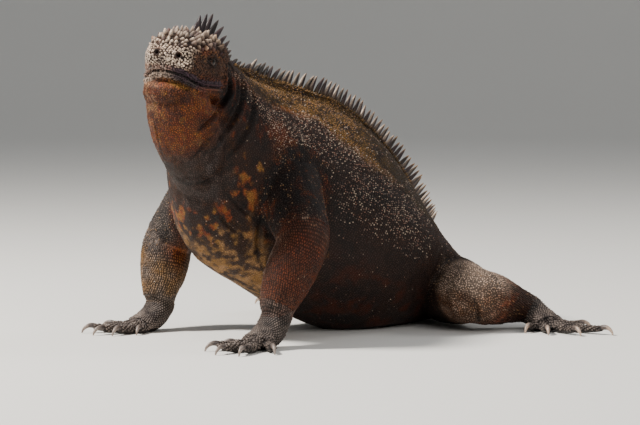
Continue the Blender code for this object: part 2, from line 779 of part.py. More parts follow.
def make_head(draw):
    """The head with its features, and its two eyes."""
    skull = fuse("skull", head_shapes(), 0.0016, 2, 4000)
    shapes = [*head_shapes(), *lip_shapes(skull), throat_shape(), tube(TRUNK[:5])]
    head = fuse("head", shapes, 0.00115, 2, 2000)
    boolean(head, "INTERSECT", [head_zone(0)])
    keep_largest(head)
    graft(head, head_scales(head, draw))
    boolean(head, "DIFFERENCE", head_cuts(skull))
    keep_largest(head)
    bpy.data.objects.remove(skull)
    for name, side in (("left_eye", 1), ("right_eye", -1)):
        centre = in_head(EYE_PLACE[0], side * EYE_PLACE[1], EYE_PLACE[2])
        cover(new_object(name, [ball(centre, [EYE_RADIUS] * 3, head_axes(), 12)]))
    return head


def make_body(head, draw):
    """Neck, trunk and tail with the crest, and the outer skin that the limbs are cut by."""
    body = fuse("body", body_shapes(), 0.0021, 4, 3300)
    boolean(body, "DIFFERENCE", [floor_cutter(), head_zone(GAP)])
    keep_largest(body)
    outside = swollen(body)
    cuts = []
    for _, place, reach in BODY_CUTS[:-1]:
        centre, tangent, _ = along_spine(place)
        cuts.append(disc(centre, tangent, reach))
    nodes = part_by(body, cuts, body_seeds())
    nodes["head"] = head
    for name, shapes in add_crest(nodes, draw).items():
        graft(nodes[name], shapes)
        cover(nodes[name])
    return outside


def make_limb(name, outside):
    """Upper and lower limb, then the foot cut clear of them, then the claws cut clear of the foot."""
    side_name, kind = name.split("_")
    parts = [f"{side_name}_{part}" for part in PART_NAMES[kind]]
    root, bend, end = (Vector(j) for j in LIMBS[name])
    limb = fuse(name, limb_shapes(name), 0.0016, 3, 500)
    boolean(limb, "DIFFERENCE", [floor_cutter(), swollen(outside, 0.0)])
    keep_largest(limb)
    skin = swollen(limb)
    seeds = {parts[0]: root.lerp(bend, 0.6), parts[1]: bend.lerp(end, 0.6)}
    across = (bend - root).normalized() + (end - bend).normalized()
    part_by(limb, [disc(bend, across, 0.075)], seeds)
    foot = fuse(parts[2], foot_shapes(name), 0.0010, 2, 520)
    boolean(foot, "DIFFERENCE", [floor_cutter(), skin, swollen(outside, 0.0)])
    keep_largest(foot)
    cover(foot)
    sole = swollen(foot)
    for number in range(5):
        claw = new_object(f"{parts[2]}_claw_{number + 1}", [claw_shape(name, number)])
        boolean(claw, "DIFFERENCE", [swollen(sole, 0.0), floor_cutter()])
        keep_largest(claw)
        cover(claw)
    bpy.data.objects.remove(sole)


def main():
    for old in list(bpy.data.objects):
        bpy.data.objects.remove(old)
    draw = random.Random(SEED)
    head = make_head(draw)
    outside = make_body(head, draw)
    for name in LIMBS:
        make_limb(name, outside)
    bpy.data.objects.remove(outside)
    for obj in bpy.data.objects:
        obj.data.shade_smooth()
        obj.data.set_sharp_from_angle(angle=math.radians(35))


main()
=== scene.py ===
import math
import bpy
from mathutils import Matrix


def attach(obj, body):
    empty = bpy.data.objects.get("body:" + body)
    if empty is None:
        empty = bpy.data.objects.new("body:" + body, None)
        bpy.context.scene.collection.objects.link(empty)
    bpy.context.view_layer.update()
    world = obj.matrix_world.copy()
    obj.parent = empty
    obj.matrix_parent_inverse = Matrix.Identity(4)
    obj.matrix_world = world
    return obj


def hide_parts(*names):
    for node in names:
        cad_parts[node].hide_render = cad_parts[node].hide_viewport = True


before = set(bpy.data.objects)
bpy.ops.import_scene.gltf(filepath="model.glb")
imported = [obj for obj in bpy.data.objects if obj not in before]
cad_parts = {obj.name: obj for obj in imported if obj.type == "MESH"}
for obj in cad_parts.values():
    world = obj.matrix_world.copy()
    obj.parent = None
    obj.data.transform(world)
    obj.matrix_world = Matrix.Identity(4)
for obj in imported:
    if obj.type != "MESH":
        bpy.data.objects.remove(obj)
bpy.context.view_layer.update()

from types import SimpleNamespace

import bmesh
import bpy
import numpy as np
from mathutils import Vector
from mathutils.bvhtree import BVHTree

SEED = 11
FLOOR_LIFT = 0.0003

# Skin: sizes of its remeshing grid, and how far the finer grids of the head and feet reach
SKIN_VOXEL = 0.0016
HEAD_VOXEL = 0.0007
FOOT_VOXEL = 0.0009
HEAD_REACH = 0.054
FOOT_HOLD = (0.032, 0.044)

# Scales: least height over the floor, where those of limbs and tail begin, and how far apart the rows are
SCALE_CLEARANCE = 0.0022
LIMB_EDGE = 1.22
LIMB_COVER = 1.24
ROWS_FROM = {"arm": 0.90, "leg": 1.20}
TAIL_SCALES_FROM = 0.383
ROW_PITCH = 0.0019

# The body's stations, as in the solids: x, y, z, half width, height above and below, peak of the back
TRUNK = [
    (0.0215, -0.210, 0.224, 0.0220, 0.0180, 0.020, 1.20),
    (0.0160, -0.197, 0.214, 0.0275, 0.0200, 0.032, 1.25),
    (0.0090, -0.180, 0.197, 0.0370, 0.0290, 0.050, 1.30),
    (0.0030, -0.158, 0.172, 0.0490, 0.0490, 0.075, 1.30),
    (0.0000, -0.130, 0.145, 0.0600, 0.0660, 0.095, 1.30),
    (0.0030, -0.090, 0.118, 0.0710, 0.0780, 0.093, 1.30),
    (0.0050, -0.045, 0.095, 0.0790, 0.0780, 0.093, 1.35),
    (0.0030, 0.000, 0.074, 0.0760, 0.0660, 0.088, 1.70),
    (-0.0020, 0.038, 0.056, 0.0650, 0.0490, 0.066, 2.00),
    (-0.0120, 0.070, 0.043, 0.0520, 0.0400, 0.049, 2.00),
    (-0.0280, 0.098, 0.035, 0.0420, 0.0360, 0.039, 1.80),
]
# Tail: distance from the sacrum, heading from +Y towards the animal's right, half width, half height, peak
TAIL_START_HEADING = 38.0
TAIL = [
    (0.040, 54.0, 0.0330, 0.0330, 1.40),
    (0.090, 66.0, 0.0250, 0.0285, 1.15),
    (0.160, 72.0, 0.0195, 0.0250, 1.10),
    (0.260, 66.0, 0.0145, 0.0212, 1.10),
    (0.380, 50.0, 0.0100, 0.0168, 1.10),
    (0.500, 30.0, 0.0062, 0.0115, 1.10),
    (0.600, 12.0, 0.0026, 0.0050, 1.10),
]
TAIL_FLAT = 0.0012
RIDGE_WIDTH = 0.0048
RIDGE_RISE = 0.0065

# Head frame and stations: forward of the skull's centre, above it, half width, height above and below
HEAD_CENTRE = Vector((0.0270, -0.2250, 0.2225))
HEAD_TURN = 27.0
HEAD_TIP = 6.0
HEAD_ROLL = 7.0
HEAD = [
    (-0.0420, -0.002, 0.0215, 0.0190, 0.0200),
    (-0.0270, 0.000, 0.0260, 0.0222, 0.0230),
    (-0.0100, 0.000, 0.0262, 0.0232, 0.0225),
    (0.0070, 0.000, 0.0248, 0.0222, 0.0215),
    (0.0200, -0.001, 0.0228, 0.0190, 0.0200),
    (0.0300, -0.003, 0.0195, 0.0142, 0.0175),
    (0.0360, -0.006, 0.0135, 0.0085, 0.0120),
]
HEAD_SHAPE = (0.84, 0.66)
CHIN_PLACE = (0.0160, 0.0, -0.0225)
CHIN_RADII = (0.0155, 0.0185, 0.0065)
THROAT = [
    (0.0360, -0.2440, 0.2060, 0.0190, 0.0110),
    (0.0320, -0.2380, 0.1930, 0.0270, 0.0210),
    (0.0275, -0.2270, 0.1740, 0.0265, 0.0270),
    (0.0210, -0.2100, 0.1520, 0.0240, 0.0270),
    (0.0125, -0.1900, 0.1320, 0.0220, 0.0250),
    (0.0050, -0.1700, 0.1150, 0.0210, 0.0220),
]
THROAT_ACROSS = np.array((0.68, 0.73, 0.0))
EYE_RADIUS = 0.0062
EYE_PLACE = (0.0030, 0.0206, 0.0020)
EYE_LOOK = (0.25, 0.96, 0.05)
LID_THICKNESS = 0.0014
LID_OPENING = (0.0054, 0.0029)
NOSTRIL_PLACE = (0.0270, 0.0083, 0.0045)
NOSTRIL_RADIUS = 0.0018
NOSTRIL_OPENING = (0.0375, 0.0085, 0.0020)
NOSTRIL_SHIFT = 0.0025
NOSTRIL_LOOK = (0.92, 0.36, 0.16)
EAR_PLACE = (-0.0270, 0.0262, 0.0010)
EAR_RADII = (0.0042, 0.0052)
MOUTH_CURVE = (
    (0.0, 0.08, 0.20, 0.34, 0.45, 0.58, 0.80, 1.0),
    (-0.0105, -0.0107, -0.0123, -0.0147, -0.0167, -0.0180, -0.0168, -0.0158),
)
MOUTH_TURN = 118.0
MOUTH_HUB = 0.0020

# Limbs: stations along them with their radius, and the joints from the body outwards
ARM_STATIONS = ((0.0, 0.0265), (0.5, 0.0245), (1.0, 0.0215), (1.45, 0.0205), (1.8, 0.0168), (2.0, 0.0138))
LEG_STATIONS = ((0.0, 0.0290), (0.5, 0.0290), (1.0, 0.0245), (1.40, 0.0215), (1.75, 0.0155), (2.0, 0.0120))
LIMBS = {
    "left_arm": ((0.044, -0.132, 0.126), (0.083, -0.152, 0.082), (0.081, -0.181, 0.0275)),
    "right_arm": ((-0.042, -0.138, 0.128), (-0.083, -0.150, 0.074), (-0.080, -0.165, 0.0260)),
    "left_leg": ((0.024, 0.060, 0.030), (0.100, 0.022, 0.030), (0.118, 0.076, 0.0165)),
    "right_leg": ((-0.046, 0.074, 0.032), (-0.106, 0.020, 0.030), (-0.128, 0.078, 0.0165)),
}
PART_NAMES = {"arm": ("upper_arm", "forearm", "hand"), "leg": ("thigh", "shin", "foot")}
DIGITS = {
    "left_arm": ((-43, 0.035), (-22, 0.049), (6, 0.056), (27, 0.055), (58, 0.042)),
    "right_arm": ((-34, 0.035), (-13, 0.048), (4, 0.055), (26, 0.056), (60, 0.042)),
    "left_leg": ((22, 0.040), (50, 0.053), (74, 0.066), (96, 0.077), (136, 0.047)),
    "right_leg": ((20, 0.040), (44, 0.053), (64, 0.066), (84, 0.077), (120, 0.047)),
}
PALM_LENGTH = {"arm": 0.020, "leg": 0.030}
PALM_WIDTH = {"arm": 0.0145, "leg": 0.0130}
DIGIT_RADIUS = 0.0042
CLAW_RADIUS = 0.0023
# Toes: share of the length, height and share of the radius. Claws: forward, up and share of the radius
DIGIT_STATIONS = (
    (0.0, 0.0080, 1.15),
    (0.30, 0.0068, 1.0),
    (0.55, 0.0036, 0.98),
    (0.78, 0.0038, 0.90),
    (1.0, 0.0050, 0.74),
)
CLAW_STATIONS = (
    (-0.0040, 0.0, 1.0),
    (0.0010, 0.0012, 1.0),
    (0.0050, 0.0006, 0.78),
    (0.0082, -0.0020, 0.50),
    (0.0098, -0.0058, 0.14),
)

# Crest: distances along the back from the crown, and there the spines' height and spacing
CREST = (
    (0.000, 0.010, 0.022, 0.048, 0.060, 0.082, 0.090, 0.130, 0.200, 0.300, 0.370, 0.450, 0.600, 0.990),
    (0.011, 0.0195, 0.023, 0.022, 0.01, 0.0085, 0.0175, 0.0165, 0.015, 0.012, 0.01, 0.0085, 0.007, 0.0035),
    (
        *(0.0060, 0.0060, 0.0062, 0.0062, 0.0058, 0.0056, 0.0056),
        *(0.0054, 0.0052, 0.0050, 0.0052, 0.0066, 0.0070, 0.0070),
    ),
)
# One spine's width, root and rings of height and size
SPINE_WIDTH = 0.0024
SPINE_ROOT = 0.0020
SPINE_RINGS = ((0.04, 1.05), (0.16, 1.0), (0.36, 0.92), (0.58, 0.76), (0.78, 0.52), (0.93, 0.25))
# The way that the spines lean sideways, and how much at distances along the back
SWEEP_WAY = np.array((0.68, 0.73, 0.0))
CREST_SWEEP = (
    (0.0, 0.02, 0.05, 0.07, 0.10, 0.20, 0.28, 0.36, 0.44, 0.52),
    (-0.02, 0.12, 0.36, 0.10, -0.20, -0.08, 0.35, 0.75, 0.50, 0.0),
)
# Rows of small scales at the crest's foot: distance from its middle and size
CREST_FOOT_ROWS = ((0.003, 1.0), (0.0056, 0.8), (0.0082, 0.7), (0.011, 0.64), (0.014, 0.56), (0.017, 0.46))

# Camera: place, heading from +Y, pitch down, and lens
CAMERA_PLACE = (1.5194, -1.473, 0.222)
CAMERA_HEADING = 47.0
CAMERA_PITCH = 3.445
CAMERA_LENS = 140.6
SENSOR_WIDTH = 36.0
PICTURE = (640, 425)

# Folds of neck, throat, shoulder and knee: places in the picture, depth, width, and whether on both sides
FOLDS = (
    (((230, 72), (229.5, 92), (221, 104.5), (209, 121), (198, 131)), 0.0048, 0.0017, True),
    (((239, 72), (243, 88), (241, 104), (233, 120), (222, 138), (212, 152)), 0.0036, 0.0016, True),
    (((250, 84), (254, 104), (250, 124), (240, 142), (228, 158)), 0.0018, 0.0016, True),
    (((218, 128), (206, 142), (193, 158)), 0.0026, 0.0012, False),
    (((228, 124), (218, 140), (204, 154)), 0.0014, 0.0010, False),
    (((166, 176), (185, 184), (210, 180), (232, 166)), 0.0024, 0.0017, False),
    (((152, 112), (157, 134), (163, 156)), 0.0010, 0.0009, False),
    (((474, 300), (477, 312), (479, 322)), 0.0024, 0.0018, False),
    (((262, 216), (258, 240), (258, 262)), 0.0022, 0.0018, False),
    (((228, 196), (242, 210), (258, 222)), 0.0012, 0.0011, False),
    (((214, 206), (226, 224), (244, 238)), 0.0012, 0.0011, False),
)
# The folds as lines on the skin with their widths, filled in as the skin is sculpted
CREASES = []

# Angle from the back, at distances along it, of the pale line that parts the olive back from the dark flank
PALE_LINE = ((0.03, 0.05, 0.095, 0.127, 0.161, 0.214, 0.24, 0.34), (92, 85, 52, 37, 52, 68, 76, 80))

# Colours, linear
COAL = np.array((0.0070, 0.0048, 0.0046))
UMBER = np.array((0.030, 0.011, 0.006))
BARK = np.array((0.074, 0.029, 0.013))
RUST = np.array((0.200, 0.036, 0.006))
AMBER = np.array((0.340, 0.105, 0.014))
OCHRE = np.array((0.350, 0.170, 0.034))
TAN = np.array((0.420, 0.225, 0.095))
OLIVE = np.array((0.110, 0.062, 0.013))
SLATE = np.array((0.064, 0.050, 0.047))
ASH = np.array((0.220, 0.175, 0.150))
PALE = np.array((0.500, 0.365, 0.280))
BONE = np.array((0.760, 0.610, 0.470))
PINK = np.array((0.370, 0.185, 0.130))
PLUM = np.array((0.028, 0.014, 0.021))


# ---------------------------------------------------------------- shapes that repeat the solids


def smooth_rows(rows, steps):
    """Catmull-Rom curve through the rows."""
    rows = np.array(rows, float)
    padded = np.vstack([2 * rows[0] - rows[1], rows, 2 * rows[-1] - rows[-2]])
    made = []
    for i in range(1, len(padded) - 2):
        p0, p1, p2, p3 = padded[i - 1 : i + 3]
        for t in np.arange(steps) / steps:
            bend = (2 * p0 - 5 * p1 + 4 * p2 - p3) * t**2 + (3 * p1 - p0 - 3 * p2 + p3) * t**3
            made.append(0.5 * (2 * p1 + (p2 - p0) * t + bend))
    return np.array([*made, padded[-2]])


def frames(centres, up):
    """Unit tangent, side and normal at each centre."""
    tangents = unit(np.gradient(centres, axis=0))
    up = np.array(up, float)
    normals = unit(up - (tangents @ up)[:, None] * tangents)
    return tangents, np.cross(tangents, normals), normals


def tube(rows, up=(0, 0, 1), around=24, steps=4, shape=(1.0, 1.0)):
    """A closed tube through rows of x, y, z, half width, heights above and below, perhaps upper power."""
    rows = smooth_rows(rows, steps)
    _, sides, normals = frames(rows[:, :3], up)
    points = []
    for row, side, normal in zip(rows, sides, normals):
        upper = row[6] if len(row) > 6 else shape[0]
        for k in range(around):
            a = 2 * math.pi * k / around
            power, height = (upper, row[4]) if math.sin(a) > 0 else (shape[1], row[5])
            across = math.copysign(abs(math.cos(a)) ** power, math.cos(a))
            rise = math.copysign(abs(math.sin(a)) ** power, math.sin(a))
            points.append(row[:3] + side * row[3] * across + normal * height * rise)
    faces = [tuple(range(around)), tuple(range(len(points) - around, len(points)))]
    for i in range(len(rows) - 1):
        for k in range(around):
            low, next_low = i * around + k, i * around + (k + 1) % around
            faces.append((low, low + around, next_low + around, next_low))
    return points, faces


def round_tube(centres, radii, around=16, steps=3, up=(0, 0, 1)):
    return tube([(*c, r, r, r) for c, r in zip(centres, radii)], up, around, steps)


def ball(centre, radii, axes=((1, 0, 0), (0, 1, 0), (0, 0, 1)), around=14):
    """An ellipsoid with these half sizes along these axes."""
    centre = np.array(centre, float)
    axes = [np.array(a, float) for a in axes]
    levels = around // 2
    points = [centre - axes[2] * radii[2], centre + axes[2] * radii[2]]
    for i in range(1, levels):
        tilt = math.pi * i / levels - math.pi / 2
        for k in range(around):
            a = 2 * math.pi * k / around
            across = axes[0] * radii[0] * math.cos(a) + axes[1] * radii[1] * math.sin(a)
            points.append(centre + across * math.cos(tilt) + axes[2] * radii[2] * math.sin(tilt))
    faces = []
    last = 2 + (levels - 2) * around
    for k in range(around):
        n = (k + 1) % around
        faces += [(0, 2 + n, 2 + k), (1, last + k, last + n)]
        for i in range(levels - 2):
            low = 2 + i * around
            faces.append((low + k, low + n, low + around + n, low + around + k))
    return points, faces


def placed(name, mesh):
    obj = bpy.data.objects.new(name, mesh)
    bpy.context.scene.collection.objects.link(obj)
    return obj


def new_object(name, shapes):
    """One object from closed shapes, each with its faces turned outwards."""
    made = bmesh.new()
    for points, faces in shapes:
        corners = [made.verts.new(p) for p in points]
        for face in faces:
            made.faces.new([corners[i] for i in face])
    bmesh.ops.recalc_face_normals(made, faces=made.faces)
    mesh = bpy.data.meshes.new(name)
    made.to_mesh(mesh)
    made.free()
    return placed(name, mesh)


def settle(obj):
    """Replaces the object's mesh by what its modifiers make of it."""
    bpy.context.view_layer.update()
    graph = bpy.context.evaluated_depsgraph_get()
    mesh = bpy.data.meshes.new_from_object(obj.evaluated_get(graph))
    obj.modifiers.clear()
    obj.data = mesh
    return obj


def fuse(name, shapes, voxel, rounds):
    """One smooth closed skin round all the shapes."""
    obj = new_object(name, shapes)
    remesh = obj.modifiers.new("fuse", "REMESH")
    remesh.mode = "VOXEL"
    remesh.voxel_size = voxel
    smooth = obj.modifiers.new("soften", "SMOOTH")
    smooth.factor = 0.5
    smooth.iterations = rounds
    return settle(obj)


def soften(obj, centres, reach, rounds):
    """Smooths the object round each centre."""
    points = read(obj.data, "co")
    group = obj.vertex_groups.new(name="soft")
    for centre in centres:
        away = far_from(points, centre)
        for i in np.flatnonzero(away < reach):
            group.add([int(i)], float(1 - step(0.6 * reach, reach, away[i])), "ADD")
    smooth = obj.modifiers.new("soften", "SMOOTH")
    smooth.vertex_group = group.name
    smooth.factor = 0.5
    smooth.iterations = rounds
    settle(obj)
    obj.vertex_groups.clear()


def surface(obj):
    mesh = bmesh.new()
    mesh.from_mesh(obj.data)
    tree = BVHTree.FromBMesh(mesh)
    mesh.free()
    return tree


def head_axes():
    """Unit forward, left and up of the head."""
    turn, tip, roll = (math.radians(a) for a in (HEAD_TURN, HEAD_TIP, HEAD_ROLL))
    level = Vector((math.sin(turn), -math.cos(turn), 0))
    forward = level * math.cos(tip) + Vector((0, 0, math.sin(tip)))
    side = Vector((0, 0, 1)).cross(forward).normalized()
    rise = forward.cross(side)
    left = side * math.cos(roll) - rise * math.sin(roll)
    return forward, left, forward.cross(left)


def in_head(forward, left, up):
    """A point given in the head's own frame, in world metres."""
    f, s, u = head_axes()
    return HEAD_CENTRE + f * forward + s * left + u * up


def mirrored(place, side):
    """A place or direction of the head, on its left for side 1 and its right for -1."""
    return place[0], place[1] * side, place[2]


def tail_rows():
    """Tail stations laid along the floor."""
    x, y = TRUNK[-1][0], TRUNK[-1][1]
    rows = []
    last, last_heading = 0.0, TAIL_START_HEADING
    for distance, heading, half_width, half_height, peak in TAIL:
        way = math.radians((heading + last_heading) / 2)
        x -= math.sin(way) * (distance - last)
        y += math.cos(way) * (distance - last)
        rows.append((x, y, half_height - TAIL_FLAT, half_width, half_height, half_height, peak))
        last, last_heading = distance, heading
    return rows


def spine_rows():
    return [*TRUNK, *tail_rows()]


def ridge_shape():
    """The fleshy ridge along the back that carries the crest."""
    fine = smooth_rows(spine_rows(), 2)
    _, _, normals = frames(fine[:, :3], (0, 0, 1))
    rows = []
    for row, normal in list(zip(fine, normals))[4:]:
        scale = min(1.0, row[4] / 0.036)
        top = row[:3] + normal * (row[4] - 0.002)
        rows.append((*top, RIDGE_WIDTH * scale, (RIDGE_RISE + 0.002) * scale, RIDGE_RISE * scale))
    return tube(rows, around=12, steps=2, shape=(0.8, 1.0))


def head_shapes():
    """Skull and lower jaw, jowls, brow ridges, eyelids and nostril rims."""
    f, s, u = head_axes()
    rows = [(*in_head(forward, 0, up), w, above, below) for forward, up, w, above, below in HEAD]
    shapes = [tube(rows, u, shape=HEAD_SHAPE), ball(in_head(*CHIN_PLACE), CHIN_RADII, (f, s, u))]
    for side in (-1, 1):
        shapes.append(ball(in_head(-0.0060, side * 0.0195, -0.0170), (0.0270, 0.0105, 0.0105), (f, s, u)))
        shapes.append(ball(in_head(0.0045, side * 0.0175, 0.0115), (0.0140, 0.0070, 0.0048), (f, s, u)))
        eye = in_head(*mirrored(EYE_PLACE, side))
        shapes.append(ball(eye, [EYE_RADIUS + LID_THICKNESS] * 3, (f, s, u)))
        nostril = in_head(*mirrored(NOSTRIL_PLACE, side))
        shapes.append(ball(nostril, [NOSTRIL_RADIUS * 2.0] * 3, (f, s, u)))
    return shapes


def mouth_line(skull, lift, depth, count=18):
    """Points on the skull along the whole mouth, from corner to corner, lifted, and sunk to a depth."""
    f, s, _ = head_axes()
    points = []
    for i in range(count + 1):
        share = 2 * i / count - 1
        turn = math.radians(MOUTH_TURN) * share
        away = f * math.cos(turn) + s * math.sin(turn)
        height = float(np.interp(abs(share), *MOUTH_CURVE)) + lift
        hit = skull.ray_cast(in_head(MOUTH_HUB, 0, height) + away * 0.06, -away, 0.06)
        points.append(hit[0] - away * depth)
    return points


def lip_shapes(skull):
    """The rolls of the upper and lower lip, thinner towards the corners."""
    shapes = []
    for lift, depth, thick in ((0.0022, 0.0012, 0.0023), (-0.0022, 0.0017, 0.0020)):
        path = mouth_line(skull, lift, depth)
        middle = (len(path) - 1) / 2
        radii = [thick - 0.0008 * abs(i - middle) / middle for i in range(len(path))]
        shapes.append(round_tube(path, radii, around=8, steps=1))
    return shapes


def throat_shape():
    rows = [(x, y, z, w, d, d) for x, y, z, w, d in THROAT]
    return tube(rows, (0, 1, 0.2))


def shoulder_shapes():
    """Muscle over each shoulder and hip."""
    shapes = []
    for name, joints in LIMBS.items():
        root = Vector(joints[0])
        if name.endswith("arm"):
            centre, radii = root + Vector((-0.30 * root.x, 0.010, 0.004)), (0.030, 0.0345, 0.030)
        else:
            centre, radii = root + Vector((-0.40 * root.x, 0.004, 0.0)), (0.028, 0.034, 0.029)
        shapes.append(ball(centre, radii))
    return shapes


def limb_path(name):
    """Centres, radii and stations along a limb."""
    stations = ARM_STATIONS if name.endswith("arm") else LEG_STATIONS
    root, bend, end = (Vector(j) for j in LIMBS[name])
    centres = []
    for place, _ in stations:
        centres.append(root.lerp(bend, place) if place <= 1 else bend.lerp(end, place - 1))
    return centres, [r for _, r in stations], [p for p, _ in stations]


def limb_shape(name):
    centres, radii, _ = limb_path(name)
    across = (centres[-1] - centres[0]).cross(Vector((0, 0, 1)))
    return round_tube(centres, radii, 18, 4, across)


def palm_heading(name):
    headings = [math.radians(degrees) for degrees, _ in DIGITS[name]]
    return sum(headings[1:4]) / 3


def outward(name, heading):
    """Level direction at a heading from -Y towards the limb's outer side."""
    side = 1 if name.startswith("left") else -1
    return Vector((side * math.sin(heading), -math.cos(heading), 0))


def digit_path(name, number):
    """Centre line of one toe, from inside the palm over its knuckle to its raised tip."""
    kind = name[-3:]
    degrees, length = DIGITS[name][number]
    end = Vector(LIMBS[name][2])
    palm = Vector((end.x, end.y, 0)) + outward(name, palm_heading(name)) * PALM_LENGTH[kind] * 0.45
    way = outward(name, math.radians(degrees))
    reach = length - PALM_LENGTH[kind] * 0.45
    centres = [palm + way * reach * share + Vector((0, 0, z)) for share, z, _ in DIGIT_STATIONS]
    return centres, [DIGIT_RADIUS * r for _, _, r in DIGIT_STATIONS]


def palm_path(name):
    """Three points along the palm or sole, from the wrist or ankle to the knuckles."""
    kind = name[-3:]
    end = Vector(LIMBS[name][2])
    low = Vector((end.x, end.y, 0))
    way = outward(name, palm_heading(name))
    length = PALM_LENGTH[kind]
    middle = low + way * length * 0.35 + Vector((0, 0, 0.0125))
    return [end - way * 0.006, middle, low + way * length + Vector((0, 0, 0.0078))]


def foot_shapes(name):
    """Palm or sole with its five toes."""
    width = PALM_WIDTH[name[-3:]]
    sizes = ((0.0125, 0.0125, 0.0125), (width, 0.0080, 0.0130), (width, 0.0048, 0.0085))
    rows = [(*point, *size) for point, size in zip(palm_path(name), sizes)]
    shapes = [tube(rows, (0, 0, 1), 18, 4)]
    for number in range(5):
        centres, radii = digit_path(name, number)
        shapes.append(round_tube(centres, radii, 12, 4))
    return shapes


def claw_shape(name, number):
    """A hooked claw from inside the toe's tip, curving down to the floor."""
    centres, _ = digit_path(name, number)
    tip = centres[-1]
    way = (centres[-1] - centres[-2]).normalized()
    way.z = 0
    rows = []
    for forward, up, r in CLAW_STATIONS:
        place = tip + way * forward + Vector((0, 0, up))
        rows.append((*place, CLAW_RADIUS * r * 0.80, CLAW_RADIUS * r * 0.98, CLAW_RADIUS * r * 0.86))
    return tube(rows, (0, 0, 1), 16, 6, (1.0, 0.8))


def crest_line():
    """Points and upward directions along the middle of the back, from the crown to the tail's end."""
    _, _, u = head_axes()
    points = [in_head(-0.010, 0, 0.020), in_head(-0.024, 0, 0.020)]
    rises = [u, (u * 2 + Vector((0, 0.5, 1))).normalized()]
    rows = smooth_rows(spine_rows(), 10)
    _, _, normals = frames(rows[:, :3], (0, 0, 1))
    for row, normal in list(zip(rows, normals))[12:-1]:
        points.append(row[:3] + normal * row[4])
        rises.append(normal)
    return np.array(points), np.array(rises)


# ---------------------------------------------------------------- helpers on arrays of points


def mix(a, b, share):
    """Blends a and b, colours or rows of colours, by a share from 0 to 1 for each point."""
    share = np.clip(share, 0, 1)[:, None]
    return a * (1 - share) + b * share


def step(low, high, value):
    """Smooth rise from 0 at low to 1 at high."""
    t = np.clip((value - low) / (high - low), 0, 1)
    return t * t * (3 - 2 * t)


def between(low, high, soft, value):
    """1 between low and high, falling to 0 over the soft edge on each side."""
    return step(low - soft, low, value) * (1 - step(high, high + soft, value))


def bell(value, centre, width):
    return np.exp(-(((value - centre) / width) ** 2))


def noise(points, size, seed=0, octaves=3):
    """Smooth noise from -1 to 1 whose largest lumps are about this size."""
    total, weight, weights = 0.0, 1.0, 0.0
    for octave in range(octaves):
        q = np.asarray(points) / size + 37.2 * (seed + 1) + 11.7 * octave
        base = np.floor(q).astype(np.int64)
        t = q - base
        t = t * t * (3 - 2 * t)
        value = 0.0
        for corner in range(8):
            d = [(corner >> axis) & 1 for axis in range(3)]
            h = (base + d) @ np.array([374761393, 668265263, 1274126177])
            h = (h ^ (h >> 13)) * 1103515245 & 0x7FFFFFFF
            h = (h ^ (h >> 15)) * 12345701 & 0x7FFFFFFF
            share = 1.0
            for axis in range(3):
                share = share * (t[:, axis] if d[axis] else 1 - t[:, axis])
            value = value + share * (h / 0x3FFFFFFF - 1)
        total = total + value * weight
        weights += weight
        weight *= 0.5
        size *= 0.5
    return total / weights


def read(mesh, what, kind="vertices"):
    out = np.empty(len(getattr(mesh, kind)) * 3)
    getattr(mesh, kind).foreach_get(what, out)
    return out.reshape(-1, 3)


def set_points(obj, points):
    obj.data.vertices.foreach_set("co", points.ravel())
    obj.data.update()


def array_of(vectors):
    return np.array([tuple(v) for v in vectors])


def unit(rows):
    return rows / np.linalg.norm(rows, axis=1)[:, None]


def far_from(points, place):
    return np.linalg.norm(points - np.array(place), axis=1)


def lengths_of(path):
    """Distance along a path at each of its points."""
    return np.concatenate([[0], np.cumsum(np.linalg.norm(np.diff(path, axis=0), axis=1))])


def read_off(at, lengths, rows):
    """The rows' columns at these distances."""
    return np.stack([np.interp(at, lengths, column) for column in rows.T], axis=1)


def nearest_on(points, path, radii=None):
    """Distance of each point to a path, over the path's radius if given, and its place in segments."""
    path = array_of(path)
    best = np.full(len(points), 1e9)
    place = np.zeros(len(points))
    for i in range(len(path) - 1):
        a, way = path[i], path[i + 1] - path[i]
        t = np.clip(((points - a) @ way) / (way @ way), 0, 1)
        d = np.linalg.norm(points - a - t[:, None] * way, axis=1)
        if radii is not None:
            d = d / (radii[i] * (1 - t) + radii[i + 1] * t)
        closer = d < best
        best[closer] = d[closer]
        place[closer] = (i + t)[closer]
    return best, place


class Spine:
    """Places along the body's axis, from the skull to the tail's tip."""

    def __init__(self):
        self.rows = smooth_rows(spine_rows(), 20)
        _, self.sides, self.normals = frames(self.rows[:, :3], (0, 0, 1))
        self.lengths = lengths_of(self.rows[:, :3])

    def locate(self, points):
        """Distance along the axis, how far across and above it, and the nearest row of each point."""
        index = np.empty(len(points), int)
        squares = (self.rows[:, :3] ** 2).sum(axis=1)
        for start in range(0, len(points), 20000):
            part = points[start : start + 20000]
            ranks = squares[None, :] - 2 * part @ self.rows[:, :3].T
            index[start : start + 20000] = np.argmin(ranks, axis=1)
        away = points - self.rows[index, :3]
        across = (away * self.sides[index]).sum(axis=1)
        rise = (away * self.normals[index]).sum(axis=1)
        return self.lengths[index], across, rise, index


SPINE = Spine()
CREST_LINE = crest_line()[0]
HEAD_AXES = array_of(head_axes())


def head_local(points):
    """Forward, left and up of each point in the head's frame."""
    return (points - np.array(HEAD_CENTRE)) @ HEAD_AXES.T


def skull_share(points):
    """1 on the head, falling to 0 on the neck and throat."""
    f, s, u = head_local(points).T
    return 1 - step(0.92, 1.12, np.sqrt((f / 0.044) ** 2 + (s / 0.034) ** 2 + ((u + 0.001) / 0.0315) ** 2))


